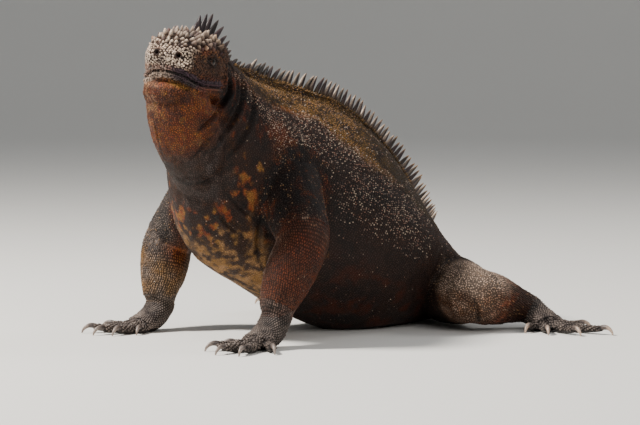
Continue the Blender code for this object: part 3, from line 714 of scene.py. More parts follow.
def survey(points):
    """Where each point lies on the body, for the markings, the folds and the scales."""
    at = SimpleNamespace(points=points)
    at.along, across, rise, _ = SPINE.locate(points)
    at.theta = np.degrees(np.abs(np.arctan2(across, rise)))
    at.ridge, _ = nearest_on(points, CREST_LINE[2::4])
    at.head = head_local(points)
    at.skull = skull_share(points)
    rows = smooth_rows(THROAT, 4)
    at.throat, at.throat_place = np.full(len(points), 99.0), np.zeros(len(points))
    near = far_from(points, rows[8, :3]) < 0.13
    at.throat[near], at.throat_place[near] = nearest_on(points[near], rows[:, :3], rows[:, 3:].mean(axis=1))
    at.limb = np.full(len(points), 99.0)
    at.which = np.full(len(points), -1)
    at.reach = np.zeros(len(points))
    for number, name in enumerate(LIMBS):
        pieces = [limb_path(name), (palm_path(name), [PALM_WIDTH[name[-3:]]] * 3, (2.0, 2.2, 2.5))]
        for digit in range(5):
            pieces.append((*digit_path(name, digit), (2.3, 2.5, 2.7, 2.85, 3.0)))
        for middle, sizes, marks in pieces:
            ends = array_of(middle)
            low, high = ends.min(axis=0) - max(sizes) * 1.6, ends.max(axis=0) + max(sizes) * 1.6
            near = np.flatnonzero(((points > low) & (points < high)).all(axis=1))
            ratio, place = nearest_on(points[near], middle, sizes)
            closer = ratio < at.limb[near]
            at.limb[near[closer]] = ratio[closer]
            at.which[near[closer]] = number
            at.reach[near[closer]] = np.interp(place[closer], range(len(marks)), marks)
    return at


def picked(at, keep):
    """The survey of some of its points."""
    return SimpleNamespace(**{key: values[keep] for key, values in vars(at).items()})


# ---------------------------------------------------------------- markings


def trunk_colours(at):
    """Base and tip colours of the neck, trunk and tail."""
    p = at.points
    rough, fine, broad = noise(p, 0.012, 1), noise(p, 0.0045, 2), noise(p, 0.035, 3)
    base = mix(COAL, UMBER, 0.35 + 0.6 * broad + 0.3 * fine)
    tip = mix(UMBER * 1.3, mix(BARK, SLATE * 1.3, 0.5 + rough), 0.5 + fine)
    below = at.theta + 5 * rough - np.interp(at.along, *PALE_LINE)
    trunk = between(0.06, 0.34, 0.04, at.along)
    back = (1 - step(-5, 2, below)) * trunk
    earth = mix(UMBER, mix(OLIVE, OCHRE * 0.6, 0.3 + fine), 0.40 + 0.9 * fine + 0.3 * rough)
    base = mix(base, earth * 0.45, back)
    earth = mix(UMBER, mix(OLIVE * 1.2, OCHRE * 0.8, 0.2 + 1.1 * fine), 0.6 + fine + 0.5 * rough)
    tip = mix(tip, earth, back * 0.9)
    rear = back * step(0.17, 0.23, at.along)
    base = mix(base, mix(COAL, OLIVE * 0.35, 0.5 + 0.6 * fine), rear)
    tip = mix(tip, mix(UMBER, OLIVE * 0.7, 0.4 + 0.8 * fine), rear)
    line = bell(below, -1, 4.2) * between(0.045, 0.18, 0.04, at.along) * step(-0.45, 0.1, rough + 0.5 * fine)
    gold = mix(AMBER, OCHRE, step(0.09, 0.13, at.along) + 0.3 * fine)
    base = mix(base, gold * 0.45, line * (0.75 + 0.5 * fine))
    tip = mix(tip, gold * 1.15, line * (0.8 + 0.6 * fine))
    patch = between(0.080, 0.120, 0.014, at.along) * between(88, 106, 9, at.theta) * step(-0.35, 0.1, fine)
    base = mix(base, RUST * 0.55, patch * 0.8)
    tip = mix(tip, mix(RUST * 1.3, TAN, 0.4 + 1.2 * fine), patch)
    edge = bell(at.theta, 91, 6) * between(0.02, 0.085, 0.01, at.along)
    tip = mix(tip, mix(PINK, BONE, 0.4 + fine), edge * 0.8)
    neck = (1 - step(0.075, 0.10, at.along)) * step(94, 104, at.theta)
    smears = noise(p * (1, 1, 0.35), 0.0042, 23)
    rusty = step(0.05, 0.50, smears + 0.35 * rough)
    base = mix(base, mix(COAL, RUST * 0.45, rusty), neck * 0.9)
    tip = mix(tip, mix(UMBER, RUST * 1.2, rusty), neck * 0.9)
    rim = step(112, 135, at.theta) * step(0.16, 0.22, at.along) * step(0.0, 0.5, rough + 0.4 * fine)
    base = mix(base, RUST * 0.32, rim * 0.8)
    tip = mix(tip, RUST * 0.5, rim * 0.8)
    base, tip = chest_colours(at, base, tip, fine, rough)
    tail = step(0.37, 0.42, at.along)
    rings = step(-0.2, 0.5, np.sin(at.along * 130) + 0.6 * rough)
    base = mix(base, mix(COAL, UMBER, rings), tail)
    tip = mix(tip, mix(SLATE * 1.2, mix(BARK, OLIVE, 0.5 + fine) * 1.5, rings), tail)
    return base, tip


def chest_colours(at, base, tip, fine, rough):
    """The trunk's colours with the chest's rust and ochre flecks and the sandy patches lower down."""
    p = at.points
    chest = step(110, 128, at.theta + 8 * rough) * between(0.055, 0.165, 0.02, at.along)
    flecks = noise(p * (1, 1, 0.6), 0.0040, 25)
    fleck = step(0.12, 0.40, flecks + 0.45 * noise(p, 0.016, 21))
    plate = mix(mix(COAL, UMBER, 0.7 + fine), mix(RUST * 1.2, OCHRE * 0.9, 0.25 + 1.6 * fine), fleck * 0.9)
    base = mix(base, plate * 0.8, chest)
    tip = mix(tip, plate * 1.2 + 0.003, chest)
    low = step(138, 156, at.theta + 8 * rough) * between(0.118, 0.175, 0.014, at.along + 0.012 * rough)
    sandy = step(-0.25, 0.30, 0.7 * noise(p, 0.0070, 9) + 0.8 * flecks)
    sand = mix(BARK * 0.50, mix(OCHRE * 0.8, TAN, 0.4 + 1.2 * fine), sandy)
    return mix(base, sand * 0.75, low), mix(tip, sand * 1.15, low)


def throat_colours(at):
    """Base and tip colours of the throat: rust and ochre, darker at its foot and on the neck's sides."""
    p = at.points
    fine, rough = noise(p * (1, 1, 0.6), 0.0034, 4), noise(p, 0.011, 5)
    tip = mix(UMBER * 1.6, mix(RUST, AMBER * 0.8, 0.25 + 0.9 * fine), 0.76 + 0.9 * rough + 0.4 * fine)
    tip = mix(tip, OCHRE, step(0.20, 0.60, noise(p, 0.0028, 6) + 0.3 * rough) * 0.6)
    foot = step(0.40, 0.54, at.throat_place / 20 + 0.05 * rough)
    grey = mix(UMBER * 0.8, mix(BARK, SLATE * 1.6, 0.4 + rough), 0.5 + 0.9 * fine)
    tip = mix(tip, grey, foot)
    cheek = (1 - step(-0.172, -0.156, p @ THROAT_ACROSS)) * step(0.165, 0.190, p[:, 2])
    tip = mix(tip, mix(PINK * 0.6, TAN * 0.8, 0.5 + fine), cheek * step(-0.3, 0.2, fine + rough) * 0.8)
    return tip * 0.38, tip * 1.4


def limb_colours(at):
    """Base and tip colours of the limbs and feet."""
    p = at.points
    fine, rough, broad = noise(p, 0.0045, 7), noise(p, 0.012, 8), noise(p, 0.03, 10)
    arm, left = at.which < 2, at.which % 2 == 0
    out = np.where(left, 1, -1) * p[:, 0]
    rusty = step(0.0, 0.6, noise(p * (1, 1, 0.6), 0.0045, 24) + 0.5 * rough)
    upper = mix(mix(COAL * 1.5, UMBER, 0.5 + fine), mix(RUST, AMBER, 0.2 + fine) * 0.75, rusty * 0.85)
    ruddy = mix(RUST * 0.8, BARK * 1.3, 0.35 + 0.8 * rough)
    lower = mix(UMBER * 1.3, ruddy, 0.65 + 0.6 * broad + 0.6 * fine)
    front = (1 - step(0.070, 0.086, out)) * step(0.95, 1.15, at.reach)
    lower = mix(lower, mix(BARK, ASH * 0.6, 0.3 + fine), front * 0.85)
    tip = mix(upper, lower, step(0.75, 1.10, at.reach)) * 1.1
    glint = bell(at.reach, 0.90, 0.07) * step(0.086, 0.096, out)
    tip = mix(tip, PALE, glint * step(0.1, 0.6, fine + 0.5 * rough) * 0.8)
    tip = mix(tip, right_arm_colours(at, fine, rough), (arm & ~left) * 0.92)
    tip = mix(leg_colours(at, fine, rough, out), tip, arm)
    foot = step(1.80, 2.10, at.reach + 0.14 * rough)
    tip = mix(tip, mix(SLATE, ASH * 1.2, 0.40 + 0.8 * fine), foot)
    base = tip * (0.22 + 0.20 * step(0.2, 0.6, broad))[:, None]
    return base, tip * 1.2


def right_arm_colours(at, fine, rough):
    """Grey and sandy, with rust on the inner side and a bright spot."""
    p = at.points
    grey = mix(SLATE * 1.1, ASH * 1.15, 0.35 + 0.9 * fine)
    sandy = step(1.15, 1.55, at.reach + 0.2 * rough)
    grey = mix(grey, mix(ASH, OCHRE, 0.55 + 0.8 * rough) * 1.1, sandy)
    grey = mix(grey, mix(UMBER, RUST, 0.6 + fine), step(-0.066, -0.056, p[:, 0] + 0.004 * rough) * 0.85)
    spot = bell(far_from(p, (-0.062, -0.157, 0.064)), 0, 0.010)
    return mix(grey, mix(AMBER, RUST, 0.5 + fine), spot * 1.2)


def leg_colours(at, fine, rough, out):
    """Pale and ruddy on the knee, its top paler partly with painted light, darker behind it, on its inner
    side and down the shin.
    """
    p = at.points
    # Top of the knee: partly its own pale scales, partly painted light falling on it from above.
    top = step(0.026, 0.042, p[:, 2] + 0.006 * rough)
    back = step(0.030, 0.056, p[:, 1] + 0.010 * rough)
    knee = mix(BARK * 2.2, mix(AMBER * 1.2, PALE * 1.2, 0.6 + 0.6 * fine), 0.60 + 0.8 * noise(p, 0.007, 22))
    calf = step(0.014, 0.032, p[:, 1] + 0.012 * rough)
    knee = mix(knee, mix(UMBER * 1.4, RUST * 1.2, 0.4 + fine), calf * 0.85)
    knee = mix(knee, mix(PALE * 0.90, PALE * 1.60, 0.4 + 0.6 * fine), top * (1 - 0.7 * back) * 0.95)
    knee = mix(knee, mix(UMBER, RUST * 0.6, 0.4 + fine), back * (1 - 0.4 * top) * 0.9)
    knee = mix(knee, mix(UMBER, BARK, 0.5 + fine), 1 - step(0.070, 0.090, out + 0.006 * rough))
    return mix(knee, UMBER * 1.8, step(1.35, 1.75, at.reach))


def head_colours(at):
    """Base and tip colours of the head, darker on its left side and round the eyes, partly its own colour
    and partly painted shade.
    """
    p = at.points
    f, s, u = at.head.T
    fine, rough = noise(p, 0.0028, 11), noise(p, 0.009, 12)
    # The head's left side darker, its pale crown and snout reaching less far there: partly its own colour,
    # partly painted shade.
    side = step(-0.004, 0.012, s + 0.004 * rough)
    tip = mix(mix(PINK * 0.7, TAN * 0.6, 0.5 + fine), mix(UMBER, BARK * 1.2, 0.5 + fine), side)
    tip = mix(tip, mix(OLIVE, TAN, 0.4 + fine), step(0.25, 0.55, noise(p, 0.0024, 15)) * 0.5)
    base = tip * 0.22
    crown = step(0.003, 0.010, u + 0.002 * rough + 0.20 * (f - 0.012) - 0.004 * side)
    snout = step(0.020, 0.030, f + 0.003 * rough - 0.006 * side) * step(-0.010, -0.004, u)
    pale = np.maximum(crown, snout)
    base = mix(base, mix(COAL * 1.5, BARK * 0.7, 0.5 + fine), pale)
    tip = mix(tip, mix(mix(ASH * 1.2, PALE, crown), BONE, 0.42 + 0.9 * rough + 0.4 * fine), pale)
    tip = mix(tip, mix(PLUM, PINK, 0.6 + fine), pale * step(0.30, 0.60, noise(p, 0.006, 16)) * 0.7)
    rear = crown * bell(f, -0.016, 0.010) * step(0.008, 0.016, np.abs(s))
    tip = mix(tip, mix(OCHRE * 1.4, BONE, 0.6 + fine), rear * 0.9)
    brow = bell(f, 0.006, 0.013) * bell(np.abs(s), 0.0215, 0.0045) * bell(u, 0.0085, 0.0040)
    base = mix(base, RUST * 0.4, brow)
    tip = mix(tip, mix(RUST, OCHRE, 0.5 + 1.2 * fine), brow * 1.2)
    # Darker round each eye: partly its own colour, partly painted shade in the socket.
    eye = np.sqrt((f - EYE_PLACE[0]) ** 2 + (u - EYE_PLACE[2]) ** 2 * 1.6)
    socket = (1 - step(0.007, 0.013, eye)) * step(0.012, 0.017, np.abs(s))
    base = mix(base, COAL * 1.2, socket * 0.9)
    tip = mix(tip, mix(UMBER, BARK, 0.5 + fine), socket * 0.95)
    jowl = step(-0.006, -0.014, u) * (1 - step(0.014, 0.024, f)) * side
    tip = mix(tip, mix(UMBER, RUST * 0.8, 0.4 + 0.8 * rough), jowl * 0.85)
    return mouth_colours(at, base, tip, fine, rough)


def mouth_colours(at, base, tip, fine, rough):
    """The head's colours with those of the lips and the chin, and painted shade on the lips' left side and
    along the line of the mouth.
    """
    f, s, u = at.head.T
    over = mouth_rise(f, s, u)
    upper, lower = between(0.0004, 0.0040, 0.0008, over), between(-0.0046, -0.0004, 0.0008, over)
    # Lips on the head's left side dark plum and slate: painted shade.
    shaded_lip_side = step(-0.002, 0.011, s + 0.003 * rough)
    tip = mix(tip, mix(mix(ASH, PINK, 0.35 + 0.5 * fine), PLUM * 1.5, shaded_lip_side), upper)
    tip = mix(tip, mix(mix(ASH, PALE, 0.5 + fine), mix(PLUM * 1.6, SLATE, 0.4 + fine), shaded_lip_side), lower)
    base = mix(base, tip * 0.35, np.maximum(upper, lower))
    chin = step(-0.0050, -0.0070, over) * step(0.002, 0.012, f)
    ruddy = mix(UMBER, mix(RUST, AMBER, 0.4 + fine) * 0.8, 0.5 + 1.1 * rough)
    far_cheek = 1 - step(-0.020, -0.008, s + 0.004 * rough)
    tip = mix(tip, mix(ruddy, mix(PINK * 0.8, TAN * 0.8, 0.5 + fine), far_cheek * 0.9), chin * 0.95)
    streak = bell(over, -0.0085, 0.0022) * between(0.004, 0.030, 0.006, f) * step(0.0, 0.008, s)
    tip = mix(tip, OCHRE * 0.9, streak * 0.9)
    base = mix(base, tip * 0.35, chin)
    # The line of the mouth painted nearly black: painted shade in the slit between the lips.
    mouth_shade = bell(over, 0, 0.00075)
    return mix(base, COAL, mouth_shade), mix(tip, COAL, mouth_shade)


def mouth_rise(f, s, u):
    """Height of each point over the line of the mouth, in the head's frame, and 1 beyond its corners."""
    share = np.degrees(np.abs(np.arctan2(s, f - MOUTH_HUB))) / MOUTH_TURN
    return np.where(share < 1, u - np.interp(share, *MOUTH_CURVE), 1.0)


def markings(at):
    """Base and tip colours of every point on the body: one pattern for the skin and the scales on it, with
    painted shade along the folds.
    """
    throat = (1 - step(1.10, 1.45, at.throat)) * step(95, 120, at.theta + 14 * noise(at.points, 0.02, 13))
    limb = 1 - step(1.10, 1.45, at.limb + 0.14 * noise(at.points, 0.008, 14))
    base, tip = trunk_colours(at)
    for paint, share in ((throat_colours, throat), (limb_colours, limb), (head_colours, at.skull)):
        colours = paint(at)
        base, tip = mix(base, colours[0], share), mix(tip, colours[1], share)
    # Each fold darkened along its line: painted shade in the crease.
    for line, width in CREASES:
        dark = (bell(nearest_on(at.points, line)[0], 0, 1.1 * width) * 0.85)[:, None]
        base, tip = base * (1 - dark), tip * (1 - dark)
    return np.clip(base, 0.002, 0.9), np.clip(tip, 0.004, 0.95)


# ---------------------------------------------------------------- skin


def camera_ray(px, py):
    """Start and direction of the line of sight through a place in the picture."""
    heading, pitch = math.radians(CAMERA_HEADING), math.radians(CAMERA_PITCH)
    level = math.cos(pitch)
    look = Vector((-math.sin(heading) * level, math.cos(heading) * level, -math.sin(pitch)))
    right = Vector((math.cos(heading), math.sin(heading), 0))
    rise = right.cross(look)
    focal = CAMERA_LENS / SENSOR_WIDTH * PICTURE[0]
    way = look + right * (px - PICTURE[0] / 2) / focal + rise * (PICTURE[1] / 2 - py) / focal
    return Vector(CAMERA_PLACE), way.normalized()


def seen_path(tree, places):
    """Points on the skin along a line given by places in the picture."""
    points = []
    for px, py in places:
        hit = tree.ray_cast(*camera_ray(px, py))
        if hit[0] is not None:
            points.append(hit[0])
    return points


def other_side(tree, path):
    """The same line on the animal's other side."""
    points = []
    _, across, rise, index = SPINE.locate(array_of(path))
    for a, r, i in zip(across, rise, index):
        if abs(math.degrees(math.atan2(a, r))) > 125:
            continue
        centre = Vector(SPINE.rows[i, :3])
        way = Vector(-SPINE.sides[i] * a + SPINE.normals[i] * r).normalized()
        hit = tree.ray_cast(centre + way * 0.15, -way, 0.15)
        if hit[0] is not None and skull_share(array_of([hit[0]]))[0] < 0.5:
            points.append(hit[0])
    return points


def refine(obj, chosen):
    """Splits the chosen faces into four."""
    mesh = bmesh.new()
    mesh.from_mesh(obj.data)
    mesh.faces.ensure_lookup_table()
    edges = {edge for i in chosen for edge in mesh.faces[i].edges}
    bmesh.ops.subdivide_edges(mesh, edges=list(edges), cuts=1, use_grid_fill=True)
    mesh.to_mesh(obj.data)
    mesh.free()


def pull(points, centre, inner, outer, shapes, voxel):
    """Moves the points near a centre onto a finer skin of these shapes."""
    fine = fuse("fine", shapes, voxel, 2)
    tree = surface(fine)
    bpy.data.objects.remove(fine)
    hold = 1 - step(inner, outer, far_from(points, centre))
    for i in np.flatnonzero(hold > 0):
        near = tree.find_nearest(Vector(points[i]))[0]
        points[i] += (np.array(near) - points[i]) * hold[i]
    return points


def foot_middle(name):
    return digit_path(name, 2)[0][2]


def face_shapes(skull_tree):
    """The head with its lips and throat, and the soft flesh under its chin and jowls."""
    under_chin = ball(in_head(0.0190, 0, -0.0270), (0.0160, 0.0200, 0.0110), head_axes())
    face = [*head_shapes(), *lip_shapes(skull_tree), throat_shape(), under_chin]
    for side in (-1, 1):
        face.append(ball(in_head(0.0060, side * 0.0115, -0.0260), (0.0200, 0.0155, 0.0150), head_axes()))
    return face


def refine_details(skin, centre):
    """Splits the faces of the head and feet, and those nearer the middle of the head once more."""
    middles = read(skin.data, "center", "polygons")
    chosen = far_from(middles, centre) < HEAD_REACH
    for name in LIMBS:
        chosen |= (far_from(middles, foot_middle(name)) < 0.052) & (middles[:, 2] < 0.030)
    refine(skin, np.flatnonzero(chosen))
    middles = read(skin.data, "center", "polygons")
    refine(skin, np.flatnonzero(far_from(middles, centre) < HEAD_REACH - 0.010))


def make_skin():
    """The whole animal's skin, finer on the head and feet, with its folds and features."""
    skull = fuse("skull", head_shapes(), 0.0012, 2)
    skull_tree = surface(skull)
    bpy.data.objects.remove(skull)
    face = face_shapes(skull_tree)
    shapes = [tube(spine_rows()), ridge_shape(), *shoulder_shapes(), *face]
    for name in LIMBS:
        shapes += [limb_shape(name), *foot_shapes(name)]
    skin = fuse("skin", shapes, SKIN_VOXEL, 4)
    centre = np.array(in_head(0.002, 0, 0))
    refine_details(skin, centre)
    points = read(skin.data, "co")
    hold = (HEAD_REACH - 0.014, HEAD_REACH - 0.004)
    points = pull(points, centre, *hold, [*face, tube(TRUNK[:5])], HEAD_VOXEL)
    for name in LIMBS:
        shapes = [*foot_shapes(name), limb_shape(name)]
        points = pull(points, foot_middle(name), *FOOT_HOLD, shapes, FOOT_VOXEL)
    set_points(skin, points)
    soften(skin, [joints[2] for joints in LIMBS.values()], 0.028, 70)
    points = sculpt(skin, read(skin.data, "co"))
    set_points(skin, points)
    points = head_features(points, read(skin.data, "normal"), skull_tree)
    points[:, 2] = np.maximum(points[:, 2], FLOOR_LIFT)
    set_points(skin, points)
    skin.data.shade_smooth()
    return skin, skull_tree


def sculpt(skin, points):
    """Wrinkles, folds and soft lumps, as moves of the skin's points."""
    normals = read(skin.data, "normal")
    tree = surface(skin)
    at = survey(points)
    off_head = 1 - at.skull
    move = -0.0003 * np.ones(len(points))
    throat = (1 - step(1.05, 1.35, at.throat)) * step(90, 120, at.theta) * off_head
    move -= throat * 0.0012 * np.abs(noise(points * (1, 1, 0.22), 0.0040, 3, 2))
    neck = between(0.02, 0.085, 0.02, at.along) * (1 - step(100, 125, at.theta)) * off_head
    move -= neck * 0.0016 * np.abs(noise(points * (1, 1, 0.35), 0.0075, 5, 2))
    trunk = step(0.09, 0.13, at.along) * (1 - step(0.36, 0.42, at.along)) * step(1.1, 1.4, at.limb)
    move += trunk * 0.0007 * noise(points, 0.020, 6, 2)
    pleat = between(105, 150, 20, at.theta) * between(0.10, 0.34, 0.03, at.along)
    move -= pleat * 0.0011 * np.abs(noise(points * (0.35, 1, 0.35), 0.0080, 8, 2))
    elbow = bell(at.reach, 1.0, 0.16) * (at.limb < 1.4)
    move -= elbow * 0.0010 * np.abs(noise(points * (0.4, 0.4, 1), 0.0045, 9, 2))
    groove = between(0.14, 0.36, 0.03, at.along) * (1 - step(60, 80, at.theta))
    move -= groove * 0.0012 * bell(at.ridge, 0.0125, 0.0022)
    for places, depth, width, both in FOLDS:
        path = seen_path(tree, places)
        for line in [path, other_side(tree, path)] if both else [path]:
            if len(line) < 2:
                continue
            CREASES.append((line, width))
            d, place = nearest_on(points, line)
            ends = step(0, 0.8, place) * (1 - step(len(line) - 1.8, len(line) - 1, place))
            move -= depth * ends * (bell(d, 0, width) - 0.45 * bell(d, 2.3 * width, width))
    return points + normals * move[:, None]


def eye_middle(side):
    return np.array(in_head(*mirrored(EYE_PLACE, side)))


def eye_frame(points, side):
    """How far each point lies off an eye's opening, its direction from the eye, and its height over it."""
    eye = eye_middle(side)
    local = (points - eye) @ HEAD_AXES.T
    radius = np.linalg.norm(local, axis=1)
    near = (radius < 0.014) & (local[:, 1] * side > 0)
    length, height = LID_OPENING
    narrow = 1 - 0.35 * np.clip(np.abs(local[:, 0]) / length, 0, 1.5)
    oval = np.sqrt((local[:, 0] / length) ** 2 + (local[:, 2] / (height * narrow)) ** 2)
    return np.where(near, oval, 9.0), (points - eye) / radius[:, None], local[:, 2]


def nostril_middle(side):
    return np.array(in_head(*mirrored(NOSTRIL_OPENING, side)) + head_axes()[1] * NOSTRIL_SHIFT)


def nostril_frame(points, side):
    """How far each point near a nostril lies off its axis, and that axis."""
    axis = np.array(mirrored(NOSTRIL_LOOK, side)) @ HEAD_AXES
    axis /= np.linalg.norm(axis)
    gap = points - nostril_middle(side)
    out = gap @ axis
    off = np.linalg.norm(gap - out[:, None] * axis, axis=1)
    return np.where(np.abs(out) < 0.006, off, 1.0), axis


def ear_frame(points, side):
    """How far each point lies from the middle of an ear's cup, where 1 is its rim."""
    gap = head_local(points) - np.array(mirrored(EAR_PLACE, side))
    oval = np.sqrt((gap[:, 0] / EAR_RADII[0]) ** 2 + (gap[:, 2] / EAR_RADII[1]) ** 2)
    return np.where(np.abs(gap[:, 1]) < 0.006, oval, 9.0)


def off_mouth(points, skull_tree):
    """Distance of each point from the line of the mouth."""
    return nearest_on(points, mouth_line(skull_tree, 0, 0.0, 40))[0]


def head_features(points, normals, skull_tree):
    """Line of the mouth, lids round each eye, nostrils and ear cups."""
    points = points - normals * (0.0026 * bell(off_mouth(points, skull_tree), 0, 0.0010))[:, None]
    for side in (-1, 1):
        oval, away, above = eye_frame(points, side)
        inside = oval < 1.0
        points[inside] = eye_middle(side) + away[inside] * (EYE_RADIUS - 0.0014)
        rim = 0.0005 * bell(oval, 1.20, 0.14) - 0.0008 * bell(oval, 1.75, 0.20)
        rim = rim + 0.0005 * bell(oval, 2.3, 0.28)
        points = points + away * (rim * np.where(above > 0, 1.2, 0.9) * (oval < 8))[:, None]
        off, axis = nostril_frame(points, side)
        hole = 1 - step(0.0006, 0.0017, off)
        points = points + axis * (0.0009 * bell(off, 0.0024, 0.0009) - 0.0042 * hole)[:, None]
        cup = 1 - step(0.65, 1.05, ear_frame(points, side))
        points = points - HEAD_AXES[1] * side * (0.0018 * cup)[:, None]
    return points


# ---------------------------------------------------------------- materials


def scaled(nodes, links, source, factor):
    """Multiplies a colour by a number, both from other nodes."""
    node = nodes.new("ShaderNodeVectorMath")
    node.operation = "SCALE"
    links.new(source, node.inputs[0])
    links.new(factor, node.inputs["Scale"])
    return node.outputs["Vector"]


def remapped(nodes, links, source, low, high, new_low, new_high):
    """Maps a number from one range to another."""
    node = nodes.new("ShaderNodeMapRange")
    for key, value in (("From Min", low), ("From Max", high), ("To Min", new_low), ("To Max", new_high)):
        node.inputs[key].default_value = value
    links.new(source, node.inputs["Value"])
    return node.outputs["Result"]


def bumped(nodes, links, height, strength, distance):
    node = nodes.new("ShaderNodeBump")
    node.inputs["Strength"].default_value = strength
    node.inputs["Distance"].default_value = distance
    links.new(height, node.inputs["Height"])
    return node


def painted(name, roughness, grain, bump, studs=0.0, specular=0.5):
    """A finish coloured by the piece's paint, with fine grain in its colour, roughness and relief."""
    material = bpy.data.materials.new(name)
    material.use_nodes = True
    nodes, links = material.node_tree.nodes, material.node_tree.links
    shader = nodes["Principled BSDF"]
    shader.inputs["Specular IOR Level"].default_value = specular
    paint = nodes.new("ShaderNodeAttribute")
    paint.attribute_name = "paint"
    place = nodes.new("ShaderNodeTexCoord").outputs["Object"]
    speckle = nodes.new("ShaderNodeTexNoise")
    speckle.inputs["Scale"].default_value = 1 / grain
    speckle.inputs["Detail"].default_value = 5
    links.new(place, speckle.inputs["Vector"])
    grains = speckle.outputs["Fac"]
    tone = remapped(nodes, links, grains, 0.30, 0.70, 0.62, 1.38)
    colour = scaled(nodes, links, paint.outputs["Color"], tone)
    relief = bumped(nodes, links, grains, 0.6, bump)
    if studs:
        granules = nodes.new("ShaderNodeTexVoronoi")
        granules.feature = "DISTANCE_TO_EDGE"
        granules.inputs["Scale"].default_value = 1 / 0.0015
        links.new(place, granules.inputs["Vector"])
        edge = granules.outputs["Distance"]
        under = relief
        relief = bumped(nodes, links, remapped(nodes, links, edge, 0, 0.35, 0, 1), 0.9, studs)
        links.new(under.outputs["Normal"], relief.inputs["Normal"])
        colour = scaled(nodes, links, colour, remapped(nodes, links, edge, 0, 0.25, 0.45, 1))
    links.new(colour, shader.inputs["Base Color"])
    gloss = remapped(nodes, links, grains, 0.30, 0.70, roughness - 0.10, roughness + 0.12)
    links.new(gloss, shader.inputs["Roughness"])
    links.new(relief.outputs["Normal"], shader.inputs["Normal"])
    return material


def wet_eye():
    material = painted("wet_eye", 0.12, 0.0012, 0.00002)
    shader = material.node_tree.nodes["Principled BSDF"]
    for link in list(shader.inputs["Roughness"].links):
        material.node_tree.links.remove(link)
    shader.inputs["Roughness"].default_value = 0.10
    shader.inputs["Specular IOR Level"].default_value = 0.30
    return material


def give_paint(mesh, colours):
    """Stores a colour for each of the mesh's points."""
    layer = mesh.color_attributes.new("paint", "FLOAT_COLOR", "POINT")
    layer.data.foreach_set("color", np.hstack([colours, np.ones((len(colours), 1))]).ravel())


HIDE = {
    "skin": painted("hide", 0.60, 0.0012, 0.00012, 0.00022, 0.22),
    "scale": painted("scale", 0.42, 0.0009, 0.00008, 0.0, 0.22),
    "head_scale": painted("head_scale", 0.60, 0.0008, 0.00012, 0.0, 0.30),
    "horn_scale": painted("horn_scale", 0.42, 0.0010, 0.00010, 0.0, 0.25),
    "claw": painted("claw", 0.38, 0.0012, 0.00010),
    "eye": wet_eye(),
}


def finish_piece(obj, material, slot, *nodes):
    obj.data.materials.append(HIDE[material])
    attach(obj, "root")
    if nodes:
        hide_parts(*nodes)


# ---------------------------------------------------------------- scales


def granule_pattern(corners=5):
    """A low cone leaning back: points as shares of half length, half width and height, and faces."""
    turns = [2 * math.pi * k / corners for k in range(corners)]
    ring = [(math.cos(a), math.sin(a), -0.5) for a in turns]
    faces = [(k, (k + 1) % corners, corners) for k in range(corners)]
    return [*ring, (0.25, 0.0, 1.0)], [*faces, tuple(reversed(range(corners)))]


def stud_pattern(rings, corners=6, lean=0.1):
    """A rounded or concave cone from rings of (size, height), ending in a tip."""
    points = []
    for size, height in rings:
        for k in range(corners):
            a = 2 * math.pi * k / corners
            points.append((size * math.cos(a) + lean * max(height, 0), size * math.sin(a), height))
    points.append((lean, 0.0, 1.0))
    faces = [tuple(reversed(range(corners)))]
    for i in range(len(rings) - 1):
        for k in range(corners):
            n = (k + 1) % corners
            faces.append((i * corners + k, i * corners + n, (i + 1) * corners + n, (i + 1) * corners + k))
    top = (len(rings) - 1) * corners
    faces += [(top + k, top + (k + 1) % corners, top + corners) for k in range(corners)]
    return points, faces


GRANULE = granule_pattern()
KEELED = (
    [(-1, 0, -0.4), (-0.15, 1, -0.4), (1.05, 0, -0.4), (-0.15, -1, -0.4), (-0.45, 0, 0.55), (1.0, 0, 1.0)],
    [(0, 3, 4), (3, 5, 4), (3, 2, 5), (0, 4, 1), (1, 4, 5), (1, 5, 2), (0, 1, 2, 3)],
)
BEAD = stud_pattern(((1.0, -0.5), (0.80, 0.55), (0.42, 0.90)), 6, 0.0)
TUBERCLE = stud_pattern(((1.05, -0.5), (0.98, 0.12), (0.62, 0.46), (0.30, 0.80)), 6, 0.12)
UPRIGHT = stud_pattern(((1.0, -0.3), (0.55, 0.5)), 5, 0.25)


def scatter(name, pattern, places, normals, lies, sizes, base, tip, cells, fade=0.8):
    """One mesh of many scales, sized by half length, half width and height, and coloured from base to tip,
    darker at the root with painted shade.

    Cells give each scale's root on an unwrap of the skin, where its patch of the bake's map lies.
    """
    shape = np.array(pattern[0], float)
    lies = lies - (lies * normals).sum(axis=1)[:, None] * normals
    lies /= np.linalg.norm(lies, axis=1)[:, None] + 1e-12
    across = np.cross(normals, lies)
    moved = shape[None] * sizes[:, None, :]
    points = places[:, None] + moved[:, :, :1] * lies[:, None] + moved[:, :, 1:2] * across[:, None]
    points = points + moved[:, :, 2:] * normals[:, None]
    low = np.clip(-shape[:, 2] * 2, 0, 1)[None, :, None]
    high = (np.clip(shape[:, 2], 0, 1) ** fade)[None, :, None]
    # Each scale darkened towards its root: painted shade in the gaps between the scales.
    colours = base[:, None] * (1 - 0.70 * low)
    colours = colours * (1 - high) + tip[:, None] * high
    mesh, index = repeated(name, points, pattern[1])
    give_paint(mesh, colours.reshape(-1, 3))
    layer = mesh.uv_layers.new(name="OFBake")
    patches = (cells[:, None] + shape[None, :, :2] * 0.0014).reshape(-1, 2)
    layer.data.foreach_set("uv", patches[index].ravel())
    return placed(name, mesh)


